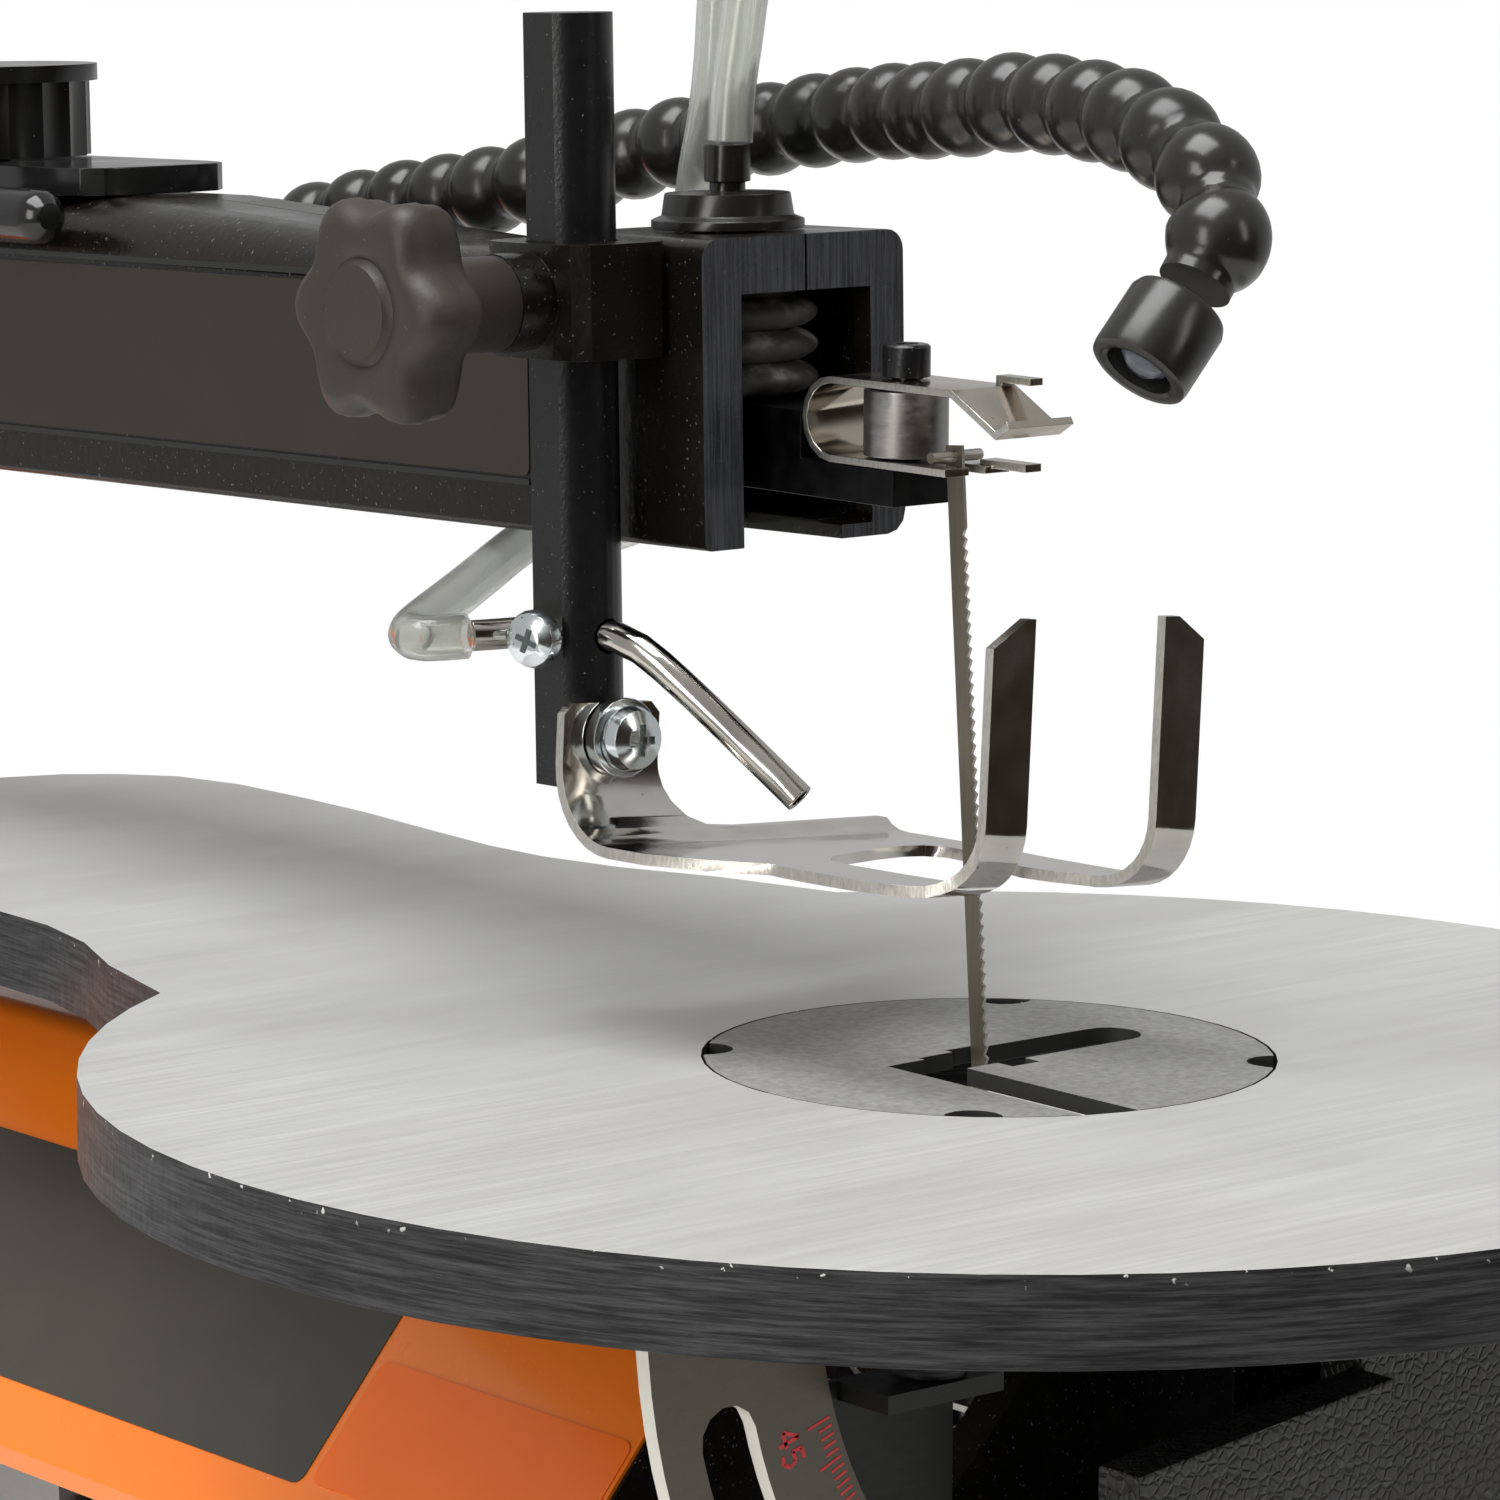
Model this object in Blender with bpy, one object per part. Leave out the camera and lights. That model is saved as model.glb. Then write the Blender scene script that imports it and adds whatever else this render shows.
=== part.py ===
"""Bench scroll saw with a tilting table, built as an assembly of separate pieces.

Lengths are millimetres in the saw's working frame: X to the right, Y to the rear, Z up
from the bench, with the blade near X = 0, Y = 0.  The frame empty moves that origin so
the finished object stands on Z = 0 with the middle of its box on the world's Z axis.
"""
import math

import bmesh
import bpy
from mathutils import Matrix, Vector

MM = 0.001
GAP = 0.3

# Driving dimensions
TABLE_TOP = 205.0
TABLE_THICK = 12.0
TABLE_RADIUS = 127.0
FRAME_SHIFT_Y = -206.5
INSERT_RADIUS = 40.0
INSERT_THICK = 2.5

ARM_PITCH = math.radians(1.5)
ARM_FRONT_Y = 39.4
ARM_FRONT_Z = TABLE_TOP + 68.4
ARM_LENGTH = 503.0
ARM_LEFT = 19.2
ARM_RIGHT = 18.4
ARM_WALL = 4.0
ARM_FLOOR = 2.5
ARM_HEIGHT = 44.0

UPPER_PIVOT = (0.0, 430.0, TABLE_TOP + 82.0)
UPPER_PIN = (0.0, 8.2, TABLE_TOP + 83.5)
LOWER_PIN = (0.0, -1.2, TABLE_TOP - 40.2)
PIN_OFFSET = Vector(LOWER_PIN) - Vector(UPPER_PIN)
LOWER_PIVOT = tuple(Vector(UPPER_PIVOT) + PIN_OFFSET)
ROD_TOP = (0.0, 470.0, UPPER_PIVOT[2])
ROD_FOOT = tuple(Vector(ROD_TOP) + PIN_OFFSET)
BAR_HALF = 5.5

TILT_AXIS_Z = TABLE_TOP - TABLE_THICK
BEVEL_Y = -41.3
BEVEL_THICK = 2.5
BEVEL_INNER = 66.6
BEVEL_OUTER = 94.8
BEVEL_SLOT = 83.8
BEVEL_SLOT_HALF = 4.5
BEVEL_SPAN = (181.0, 247.5)
SLOT_SPAN = (194.2, 240.4)
LOCK_DEGREES = 239.7

POST_X = -28.0
POST_V = 18.2
POST_RADIUS = 6.35
POST_FLAT = 5.42
POST_TOP_W = 75.8
POST_FOOT_W = -33.7
LUG_LOW = 27.4
LUG_HIGH = 43.7
KNOB_W = 35.5
KNOB_FACE = -66.4
KNOB_BACK = -56.0

FOOT_AXIS = (POST_X, 49.5, TABLE_TOP + 41.8)
FOOT_ROLL = math.radians(4.0)
FOOT_PITCH = math.radians(1.5)
FOOT_TOP = 4.9
FOOT_FLOOR = -15.1
FOOT_FRONT = -73.0
PRONG_TOP = 22.5
SHEET = 1.6
SET_SCREW = (-36.4, 56.0, TABLE_TOP + 55.8)
SET_SCREW_AXIS = Vector((0.94, 0.34, 0.0)).normalized()

BASE_TOP = 20.0
STAND_TOP = 118.7
HOUSING_FLOOR = 119.0
HOUSING_RIDGE = 176.5
COLUMN_FRONT = 405.0
COLUMN_REAR = 520.0
COLUMN_TOP = 260.4

MOTOR_Y = 230.0
MOTOR_Z = 73.0
MOTOR_RADIUS = 42.0
CRANK_THROW = 3.2
ROD_PIN_Z = 157.5

# Base colour, roughness, metallic
FINISHES = {
    "black_paint": ((0.012, 0.012, 0.013), 0.35, 0.0),
    "black_plastic": ((0.016, 0.015, 0.014), 0.55, 0.0),
    "black_oxide": ((0.02, 0.02, 0.022), 0.4, 0.8),
    "rubber": ((0.02, 0.02, 0.02), 0.85, 0.0),
    "orange_paint": ((0.85, 0.17, 0.012), 0.25, 0.0),
    "machined": ((0.52, 0.53, 0.54), 0.45, 1.0),
    "cast_grey": ((0.22, 0.22, 0.22), 0.6, 0.7),
    "steel": ((0.35, 0.35, 0.36), 0.35, 1.0),
    "blade_steel": ((0.12, 0.115, 0.105), 0.45, 1.0),
    "nickel": ((0.62, 0.58, 0.52), 0.18, 1.0),
    "chrome": ((0.7, 0.69, 0.67), 0.08, 1.0),
    "zinc": ((0.62, 0.66, 0.68), 0.28, 1.0),
    "clear_tube": ((0.75, 0.76, 0.72), 0.12, 0.0),
    "clear_lens": ((0.62, 0.67, 0.78), 0.05, 0.0),
    "red_plastic": ((0.6, 0.02, 0.015), 0.35, 0.0),
}


# Mesh making

def arc(centre, radius, start, end, steps):
    """Points on a circle from one angle to another, in degrees."""
    points = []
    for step in range(steps + 1):
        angle = math.radians(start + (end - start) * step / steps)
        points.append((centre[0] + radius * math.cos(angle), centre[1] + radius * math.sin(angle)))
    return points


def circle(centre, radius, steps=24):
    return arc(centre, radius, 0.0, 360.0, steps)[:-1]


def box_outline(a0, b0, a1, b1):
    return [(a0, b0), (a1, b0), (a1, b1), (a0, b1)]


def fillet(points, radius, steps=3):
    """The same outline with every corner rounded."""
    result = []
    count = len(points)
    for index, point in enumerate(points):
        corner = Vector(point)
        to_last = (Vector(points[index - 1]) - corner)
        to_next = (Vector(points[(index + 1) % count]) - corner)
        reach = min(radius, 0.48 * to_last.length, 0.48 * to_next.length)
        start = corner + to_last.normalized() * reach
        end = corner + to_next.normalized() * reach
        for step in range(steps + 1):
            t = step / steps
            spot = start * (1 - t) ** 2 + corner * 2 * t * (1 - t) + end * t ** 2
            result.append((spot.x, spot.y))
    return result


def lift(axis, a, b, height):
    """A point of an outline that is extruded along the named axis."""
    if axis == "x":
        return (height, a, b)
    if axis == "y":
        return (a, height, b)
    return (a, b, height)


def prism(axis, outline, low, high):
    """An outline extruded along an axis: (y, z) for x, (x, z) for y, (x, y) for z."""
    mesh = bmesh.new()
    floor = [mesh.verts.new(lift(axis, a, b, low)) for a, b in outline]
    roof = [mesh.verts.new(lift(axis, a, b, high)) for a, b in outline]
    mesh.faces.new(floor)
    mesh.faces.new(roof)
    for index in range(len(outline)):
        after = (index + 1) % len(outline)
        mesh.faces.new((floor[index], floor[after], roof[after], roof[index]))
    return outward(mesh)


def block(low, high):
    return prism("z", box_outline(low[0], low[1], high[0], high[1]), low[2], high[2])


def outward(mesh):
    bmesh.ops.recalc_face_normals(mesh, faces=mesh.faces[:])
    return mesh


def loft(rings):
    """A closed skin through rings that have the same number of points."""
    mesh = bmesh.new()
    loops = [[mesh.verts.new(point) for point in ring] for ring in rings]
    mesh.faces.new(loops[0])
    mesh.faces.new(loops[-1])
    for lower, upper in zip(loops, loops[1:]):
        for index in range(len(lower)):
            after = (index + 1) % len(lower)
            mesh.faces.new((lower[index], lower[after], upper[after], upper[index]))
    return outward(mesh)


def lathe(axis, centre, profile, segments=20):
    """A turned solid: profile rows are (radius, height), and radius 0 closes on the axis."""
    mesh = bmesh.new()
    rings = []
    for radius, height in profile:
        if radius == 0.0:
            rings.append([mesh.verts.new((0.0, 0.0, height))])
            continue
        ring = []
        for step in range(segments):
            angle = 2 * math.pi * step / segments
            ring.append(mesh.verts.new((radius * math.cos(angle), radius * math.sin(angle), height)))
        rings.append(ring)
    closed = rings[0][0] is not rings[-1][0] and len(rings[0]) > 1 and len(rings[-1]) > 1
    pairs = list(zip(rings, rings[1:]))
    if closed:
        pairs.append((rings[-1], rings[0]))
    for lower, upper in pairs:
        join_rings(mesh, lower, upper, segments)
    turn = {
        "x": Matrix.Rotation(math.pi / 2, 4, "Y"),
        "y": Matrix.Rotation(-math.pi / 2, 4, "X"),
        "z": Matrix.Identity(4),
    }
    bmesh.ops.transform(mesh, matrix=Matrix.Translation(centre) @ turn[axis], verts=mesh.verts[:])
    return outward(mesh)


def join_rings(mesh, lower, upper, segments):
    for index in range(segments):
        after = (index + 1) % segments
        if len(lower) == 1:
            mesh.faces.new((lower[0], upper[index], upper[after]))
        elif len(upper) == 1:
            mesh.faces.new((lower[index], lower[after], upper[0]))
        else:
            mesh.faces.new((lower[index], lower[after], upper[after], upper[index]))


def rod(axis, centre, radius, low, high, segments=24):
    """A plain cylinder; low and high are places along the axis."""
    place = list(centre)
    place["xyz".index(axis)] = 0.0
    return lathe(axis, place, [(0.0, low), (radius, low), (radius, high), (0.0, high)], segments)


def smooth_path(points, per_span):
    """A smooth curve through hand-placed points."""
    knots = [Vector(point) for point in points]
    knots = [2 * knots[0] - knots[1]] + knots + [2 * knots[-1] - knots[-2]]
    path = []
    for a, b, c, d in zip(knots, knots[1:], knots[2:], knots[3:]):
        for step in range(per_span):
            t = step / per_span
            path.append(0.5 * (2 * b + (c - a) * t + (2 * a - 5 * b + 4 * c - d) * t ** 2
                               + (3 * b - a - 3 * c + d) * t ** 3))
    path.append(knots[-2])
    return path


def even_path(points, spacing):
    """The smooth curve through the points, resampled at an even spacing."""
    fine = smooth_path(points, 24)
    lengths = [0.0]
    for a, b in zip(fine, fine[1:]):
        lengths.append(lengths[-1] + (b - a).length)
    count = max(2, round(lengths[-1] / spacing))
    result = []
    index = 0
    for step in range(count + 1):
        target = lengths[-1] * step / count
        while index < len(fine) - 2 and lengths[index + 1] < target:
            index += 1
        span = lengths[index + 1] - lengths[index]
        t = min(1.0, (target - lengths[index]) / span)
        result.append(fine[index].lerp(fine[index + 1], t))
    return result


def sweep(path, radii, sides=12):
    """A round bar along a path, with one radius for all of it or one for each point."""
    if not isinstance(radii, (list, tuple)):
        radii = [radii] * len(path)
    path = [Vector(point) for point in path]
    side = None
    rings = []
    for index, point in enumerate(path):
        ahead = path[min(index + 1, len(path) - 1)]
        behind = path[max(index - 1, 0)]
        along = (ahead - behind).normalized()
        if side is None:
            side = along.orthogonal().normalized()
        side = (side - along * side.dot(along)).normalized()
        other = along.cross(side)
        ring = []
        for step in range(sides):
            angle = 2 * math.pi * step / sides
            ring.append(point + (side * math.cos(angle) + other * math.sin(angle)) * radii[index])
        rings.append(ring)
    return loft(rings)


def strip(points, thick):
    """The outline of a bent sheet, from the middle line of its edge view."""
    line = [Vector(point) for point in points]
    left = []
    right = []
    for index, point in enumerate(line):
        before = (point - line[index - 1]).normalized() if index else None
        after = (line[index + 1] - point).normalized() if index < len(line) - 1 else None
        before = before or after
        after = after or before
        middle = (before + after).normalized()
        normal = Vector((-middle.y, middle.x))
        reach = 0.5 * thick / max(0.3, middle.dot(after))
        left.append(tuple(point + normal * reach))
        right.append(tuple(point - normal * reach))
    return left + right[::-1]


def empty(name, place, parent, rotation=(0.0, 0.0, 0.0)):
    holder = bpy.data.objects.new(name, None)
    holder.empty_display_size = 0.02
    bpy.context.scene.collection.objects.link(holder)
    holder.parent = parent
    holder.location = Vector(place) * MM
    holder.rotation_euler = rotation
    return holder


def mesh_object(name, mesh):
    data = bpy.data.meshes.new(name)
    bmesh.ops.transform(mesh, matrix=Matrix.Scale(MM, 4), verts=mesh.verts[:])
    mesh.to_mesh(data)
    mesh.free()
    thing = bpy.data.objects.new(name, data)
    bpy.context.scene.collection.objects.link(thing)
    return thing


def combine(base, *steps):
    """The base mesh after each step, an operation and a tool mesh, welded as it goes."""
    operations = {"add": "UNION", "cut": "DIFFERENCE", "keep": "INTERSECT"}
    for operation, tool_mesh in steps:
        thing = mesh_object("work", base)
        tool = mesh_object("tool", tool_mesh)
        change = thing.modifiers.new("change", "BOOLEAN")
        change.operation = operations[operation]
        change.solver = "EXACT"
        change.object = tool
        graph = bpy.context.evaluated_depsgraph_get()
        base = bmesh.new()
        base.from_mesh(bpy.data.meshes.new_from_object(thing.evaluated_get(graph)))
        bpy.data.objects.remove(tool)
        bpy.data.objects.remove(thing)
        bmesh.ops.remove_doubles(base, verts=base.verts[:], dist=1e-6)
        bmesh.ops.dissolve_degenerate(base, dist=1e-7, edges=base.edges[:])
        bmesh.ops.transform(base, matrix=Matrix.Scale(1.0 / MM, 4), verts=base.verts[:])
    return base


def finish_material(name, finish):
    colour, roughness, metallic = FINISHES[finish]
    material = bpy.data.materials.new(name)
    material.use_nodes = True
    shader = material.node_tree.nodes["Principled BSDF"]
    shader.inputs["Base Color"].default_value = (*colour, 1.0)
    shader.inputs["Roughness"].default_value = roughness
    shader.inputs["Metallic"].default_value = metallic
    return material


def add_piece(name, mesh, finish, parent, pivot=(0.0, 0.0, 0.0)):
    """Add one named piece, with its origin at the pivot, in its parent's millimetres."""
    bmesh.ops.translate(mesh, vec=-Vector(pivot), verts=mesh.verts[:])
    thing = mesh_object(name, mesh)
    thing.data.shade_smooth()
    thing.data.set_sharp_from_angle(angle=math.radians(35.0))
    thing.data.materials.clear()
    thing.data.materials.append(finish_material(name, finish))
    thing.parent = parent
    thing.location = Vector(pivot) * MM
    return thing


# Base, stands and casings

def make_base(frame):
    outline = fillet([(-70, -56), (70, -56), (70, 10), (48, 40), (48, 380), (84, 430), (84, 528),
                      (-84, 528), (-84, 430), (-48, 380), (-48, 40), (-70, 10)], 14)
    plate = prism("z", outline, 8.0, BASE_TOP)
    window = prism("z", fillet(box_outline(-30, 120, 30, 300), 10), 7.0, BASE_TOP + 1)
    steps = [("cut", window)]
    feet = {"front_left": (-58, -40), "front_right": (58, -40),
            "rear_left": (-70, 508), "rear_right": (70, 508)}
    for x, y in feet.values():
        steps.append(("cut", rod("z", (x, y, 0), 3.3, 7.0, BASE_TOP + 1, 16)))
    add_piece("base_plate", combine(plate, *steps), "black_paint", frame)
    for corner, (x, y) in feet.items():
        profile = [(0, 0), (10.5, 0), (12.5, 2), (12.5, 7.7), (3.0, 7.7), (3.0, 14), (0, 14)]
        add_piece("foot_" + corner, lathe("z", (x, y, 0), profile, 16), "rubber", frame)


def make_stands(frame):
    def stand(y0, y1):
        outline = [(-56, BASE_TOP + GAP), (56, BASE_TOP + GAP), (44, STAND_TOP), (-44, STAND_TOP)]
        body = prism("y", fillet(outline, 4), y0, y1)
        inner = [(-46, BASE_TOP - 2), (46, BASE_TOP - 2), (36, STAND_TOP - 6), (-36, STAND_TOP - 6)]
        hollow = prism("y", fillet(inner, 4), y0 + 5, y1 - 5)
        return combine(body, ("cut", hollow))

    add_piece("front_stand", stand(45.0, 110.0), "black_paint", frame)
    add_piece("rear_stand", stand(330.0, 515.0), "black_paint", frame)


def housing_section(side, inset):
    """One half of the lower housing's roof-shaped section, as (x, z) points."""
    floor = HOUSING_FLOOR - (5.0 if inset else 0.0)
    wide = 56.0 - inset
    narrow = 12.0 - 0.75 * inset
    seam = -1.0 if inset else 0.5 * GAP
    top = HOUSING_RIDGE - inset
    shoulder = arc((narrow - 5.0, top - 6.0), 6.0, 90.0, 38.0, 4)
    points = [(seam, floor), (wide, floor), (wide, HOUSING_FLOOR + 3.0)] + shoulder[::-1] + [(seam, top)]
    return [(side * x, z) for x, z in points]


def make_lower_housing(frame):
    for side, name in ((-1, "lower_housing_left"), (1, "lower_housing_right")):
        shell = prism("y", housing_section(side, 0.0), 35.0, COLUMN_FRONT - 3.0)
        hollow = prism("y", housing_section(side, 4.0), 39.0, COLUMN_FRONT)
        low, high = sorted((-side * 1.0, side * 9.0))
        mouth = block((low, 30, HOUSING_FLOOR - 2), (high, 40, HOUSING_RIDGE - 3.0))
        add_piece(name, combine(shell, ("cut", hollow), ("cut", mouth)), "orange_paint", frame)


def make_column(frame):
    for side, name in ((-1, "column_left"), (1, "column_right")):
        seam = 0.5 * GAP * side
        outline = [(seam, COLUMN_FRONT), (side * 40, COLUMN_FRONT), (side * 50, COLUMN_FRONT + 14),
                   (side * 50, COLUMN_REAR - 12), (side * 38, COLUMN_REAR), (seam, COLUMN_REAR)]
        inner = [(-side, COLUMN_FRONT + 4), (side * 38, COLUMN_FRONT + 4),
                 (side * 46, COLUMN_FRONT + 16), (side * 46, COLUMN_REAR - 14),
                 (side * 36, COLUMN_REAR - 4), (-side, COLUMN_REAR - 4)]
        shell = prism("z", outline, HOUSING_FLOOR, COLUMN_TOP)
        hollow = prism("z", inner, HOUSING_FLOOR + 4, COLUMN_TOP + 1)
        mouth_x = sorted((-side, side * 9.0))
        mouth = block((mouth_x[0], COLUMN_FRONT - 2, 140), (mouth_x[1], COLUMN_FRONT + 6, 180))
        steps = [("cut", hollow), ("cut", mouth)]
        boss_x = sorted((side * 9.0, side * 47.0))
        steps.append(("add", rod("x", (0, LOWER_PIVOT[1], LOWER_PIVOT[2]), 9.0, *boss_x)))
        bore_x = sorted((side * 8.0, side * 14.0))
        steps.append(("cut", rod("x", (0, LOWER_PIVOT[1], LOWER_PIVOT[2]), 4.3, *bore_x)))
        if side > 0:
            spigot = rod("y", (30, 0, 205), 17.0, COLUMN_REAR - 1, 540.0, 28)
            steps.append(("add", spigot))
            steps.append(("cut", rod("y", (30, 0, 205), 14.5, COLUMN_REAR - 8, 545.0, 28)))
        else:
            steps.append(("cut", rod("y", (-30, 0, 140), 5.3, COLUMN_REAR - 6, COLUMN_REAR + 2, 16)))
        add_piece(name, combine(shell, *steps), "orange_paint", frame)
    grommet = [(0, 514.5), (4.9, 514.5), (4.9, 520.3), (8.0, 520.3), (8.0, 524.0), (5.5, 536.0), (0, 536.0)]
    gland = combine(lathe("y", (-30, 0, 140), grommet, 20),
                    ("cut", rod("y", (-30, 0, 140), 3.2, 512.0, 540.0, 16)))
    add_piece("cord_gland", gland, "rubber", frame)


# Upper arm casing, in the pitched arm frame: X, V rearward from its front face, W upward

def arm_ring(v, top, half, radius, low, seam):
    """A half section of the arm: from the seam out, up the side, round and back."""
    side = 1 if half > 0 else -1
    wide = abs(half)
    foot = 3.4 if side > 0 else 1.2
    lower = arc((wide - foot, low + foot), foot, -90.0, 0.0, 3)
    curve = arc((wide - radius, top - radius), radius, 0.0, 90.0, 5)
    points = [(seam, low)] + lower + curve + [(seam, top)]
    return [(side * x, v, w) for x, w in points]


def arm_outer(half):
    seam = 0.5 * GAP
    stations = [(0, 44, 3), (33, 44, 3), (37, 41.6, 6), (70, 40.3, 9), (148, 44.8, 10),
                (440, 44.8, 10), (475, 38, 10), (ARM_LENGTH - 22, 24, 10)]
    return loft([arm_ring(v, top, half, radius, 0.0, seam) for v, top, radius in stations])


def arm_inner(half):
    inset = half - math.copysign(ARM_WALL, half)
    stations = [(3.5, 40, 2), (32, 40, 2), (37, 37.6, 4), (70, 36.3, 6), (148, 40.8, 7),
                (440, 40.8, 7), (471, 34, 7), (ARM_LENGTH - 27, 22, 7)]
    return loft([arm_ring(v, top, inset, radius, ARM_FLOOR, -1.0) for v, top, radius in stations])


def make_arm_housing(arm):
    for side, name in ((-1, "arm_housing_left"), (1, "arm_housing_right")):
        half = -ARM_LEFT if side < 0 else ARM_RIGHT
        mouth_x = sorted((-side, side * 12.0))
        floor_x = (-12.0, 1.0) if side < 0 else (-1.0, 6.2)
        rear_x = sorted((-side, side * 9.0))
        pin_v, pin_w = arm_place(UPPER_PIVOT)
        pin_x = sorted((side * 7.0, side * 12.5))
        boss_x = sorted((side * 7.5, side * (abs(half) - 2.0)))
        steps = [
            ("cut", arm_inner(half)),
            ("cut", block((mouth_x[0], -1, ARM_FLOOR - 0.5), (mouth_x[1], 5, 36))),
            ("cut", block((floor_x[0], -1, -1), (floor_x[1], 28, ARM_WALL + 1))),
            ("cut", block((rear_x[0], 385, -1), (rear_x[1], 462, ARM_WALL + 1))),
            ("cut", rod("z", (0, 17.3, 0), 6.0, 36, 46, 24)),
            ("cut", rod("z", (0, arm_place(ROD_TOP)[0] + 0.8, 0), 6.0, 36, 60, 20)),
            ("add", rod("x", (0, pin_v, pin_w), 9.0, *boss_x)),
            ("cut", rod("x", (0, pin_v, pin_w), 4.3, *pin_x)),
        ]
        if side < 0:
            steps += lug_steps()
        add_piece(name, combine(arm_outer(half), *steps), "black_paint", arm)


def lug_steps():
    """The clamp lug cast on the left of the arm's head, bored for the foot post."""
    outline = fillet([(-ARM_LEFT + 1, 6.2), (-36.2, 6.2), (-36.2, 30.2), (-ARM_LEFT + 1, 30.2)], 6)
    body = prism("z", outline, LUG_LOW, LUG_HIGH)
    boss = rod("x", (0, POST_V, KNOB_W), 7.0, -42.0, POST_X)
    return [
        ("add", body),
        ("add", boss),
        ("cut", rod("z", (POST_X, POST_V, 0), POST_RADIUS + GAP, LUG_LOW - 9, LUG_HIGH + 9, 32)),
        ("cut", rod("x", (0, POST_V, KNOB_W), 4.3, -44.0, POST_X, 20)),
    ]


def arm_place(point):
    """The arm frame's V and W of a point given in the saw's frame."""
    y = point[1] - ARM_FRONT_Y
    z = point[2] - ARM_FRONT_Z
    cosine = math.cos(ARM_PITCH)
    sine = math.sin(ARM_PITCH)
    return y * cosine - z * sine, y * sine + z * cosine


def make_arm_cover(arm):
    low = 44.8 + GAP
    high = 49.6
    outline = fillet([(-15, 160), (15, 160), (15, 400), (-15, 400)], 9)
    cover = prism("z", outline, low, high)
    pin = rod("z", (0, 213, 0), 4.3, low + 1.5, high + 1, 20)
    add_piece("arm_top_cover", combine(cover, ("cut", pin)), "black_plastic", arm)


def make_tension_lever(arm):
    ribbed = []
    for step in range(36):
        angle = 2 * math.pi * step / 36
        radius = 17.6 if step % 2 else 16.6
        ribbed.append((radius * math.cos(angle), 213 + radius * math.sin(angle)))
    hub = prism("z", ribbed, 49.9, 62.6)
    cap = rod("z", (0, 213, 0), 19.0, 62.4, 65.2, 28)
    pin = rod("z", (0, 213, 0), 4.0, 47.0, 52.0, 20)
    reach = sweep(smooth_path([(-8, 206, 56), (-20, 196, 56), (-24, 190, 52), (-24, 186, 42.4)], 4),
                  3.2, 10)
    path = [(-24, 189, 42.4), (-24, 161, 42.4), (-24, 159, 42.4), (-24, 157.6, 42.4)]
    bar = sweep(path, [4.5, 4.5, 3.8, 2.2], 12)
    lever = combine(hub, ("add", cap), ("add", pin), ("add", reach), ("add", bar))
    add_piece("tension_lever", lever, "black_plastic", arm, (0, 213, 49.9))


def make_air_pump(arm):
    cap = [(0, 36.6), (5.4, 36.6), (5.4, 44.3), (11.1, 44.3), (11.1, 45.6), (9.6, 46.2), (9.1, 49.4),
           (2.6, 49.6), (2.6, 50.9), (3.35, 51.0), (3.35, 56.3), (0, 56.3)]
    bore = rod("z", (0, 17.3, 0), 1.3, 50, 60, 10)
    add_piece("bellows_cap", combine(lathe("z", (0, 17.3, 0), cap, 28), ("cut", bore)),
              "black_plastic", arm)
    low = 20.8
    high = 36.0
    pitch = 4.7
    profile = [(0, low), (10.9, low)]
    for fold in range(3):
        start = low + fold * pitch
        profile += [(12.5, start + 0.25 * pitch), (13.0, start + 0.5 * pitch), (12.5, start + 0.75 * pitch),
                    (10.9, start + pitch)]
    profile += [(10.9, high), (0, high)]
    add_piece("air_bellows", lathe("z", (0, 17.3, 0), profile, 24), "rubber", arm)


# Rocker arms, tension rod and blade

def upper_bar():
    y, z = UPPER_PIVOT[1:]
    rear = ROD_TOP[1]
    outline = [(62, z - 6), (15, z - 6), (15, z - 0.8), (34.9, z - 0.8), (34.9, z + 6), (y - 20, z + 6)]
    outline += arc((y, z), 11, 120, 60, 4) + arc((rear, z), 7.5, 60, -60, 6)
    outline += arc((y, z), 11, -60, -120, 4) + [(y - 20, z - 4.5), (66, z - 4.5)]
    return outline


def lower_bar():
    y, z = LOWER_PIVOT[1:]
    rear = ROD_FOOT[1]
    tip = TABLE_TOP - 37.9
    outline = [(5.6, tip), (5.6, tip + 5.2), (28.5, tip + 5.2), (33.5, 165.5), (y - 20, 165.5)]
    outline += arc((y, z), 10.5, 120, 60, 4) + arc((rear, z), 7.5, 60, -60, 6)
    outline += arc((y, z), 10.5, -60, -120, 4) + [(y - 20, 153.5), (25.2, 153.5), (25.2, tip)]
    return outline


def make_rockers(frame):
    slot_reach = 11.0
    for name, outline, pivot, rod_end, screw_y in (
            ("upper_rocker_arm", upper_bar(), UPPER_PIVOT, ROD_TOP, 18.6),
            ("lower_rocker_arm", lower_bar(), LOWER_PIVOT, ROD_FOOT, 9.2)):
        bar = prism("x", outline, -BAR_HALF, BAR_HALF)
        fork = block((-3.0, rod_end[1] - slot_reach, rod_end[2] - 12),
                     (3.0, rod_end[1] + 12, rod_end[2] + 12))
        steps = [("cut", fork), ("cut", rod("x", pivot, 4.3, -8, 8)),
                 ("cut", rod("x", rod_end, 2.8, -8, 8, 16))]
        if name == "upper_rocker_arm":
            top = UPPER_PIVOT[2] + 2
            steps.append(("cut", rod("z", (0, screw_y, 0), 2.3, top - 10, top, 16)))
        else:
            steps.append(("cut", rod("z", (0, screw_y, 0), 2.3, 160, 178, 16)))
            steps.append(("cut", rod("x", (0, MOTOR_Y, ROD_PIN_Z), 3.3, -8, 8, 16)))
        add_piece(name, combine(bar, *steps), "steel", frame, pivot)
    for name, pivot, reach in (("upper_pivot_pin", UPPER_PIVOT, 12.0),
    ("lower_pivot_pin", LOWER_PIVOT, 13.5)):
        add_piece(name, rod("x", pivot, 4.0, -reach, reach), "steel", frame)


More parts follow.
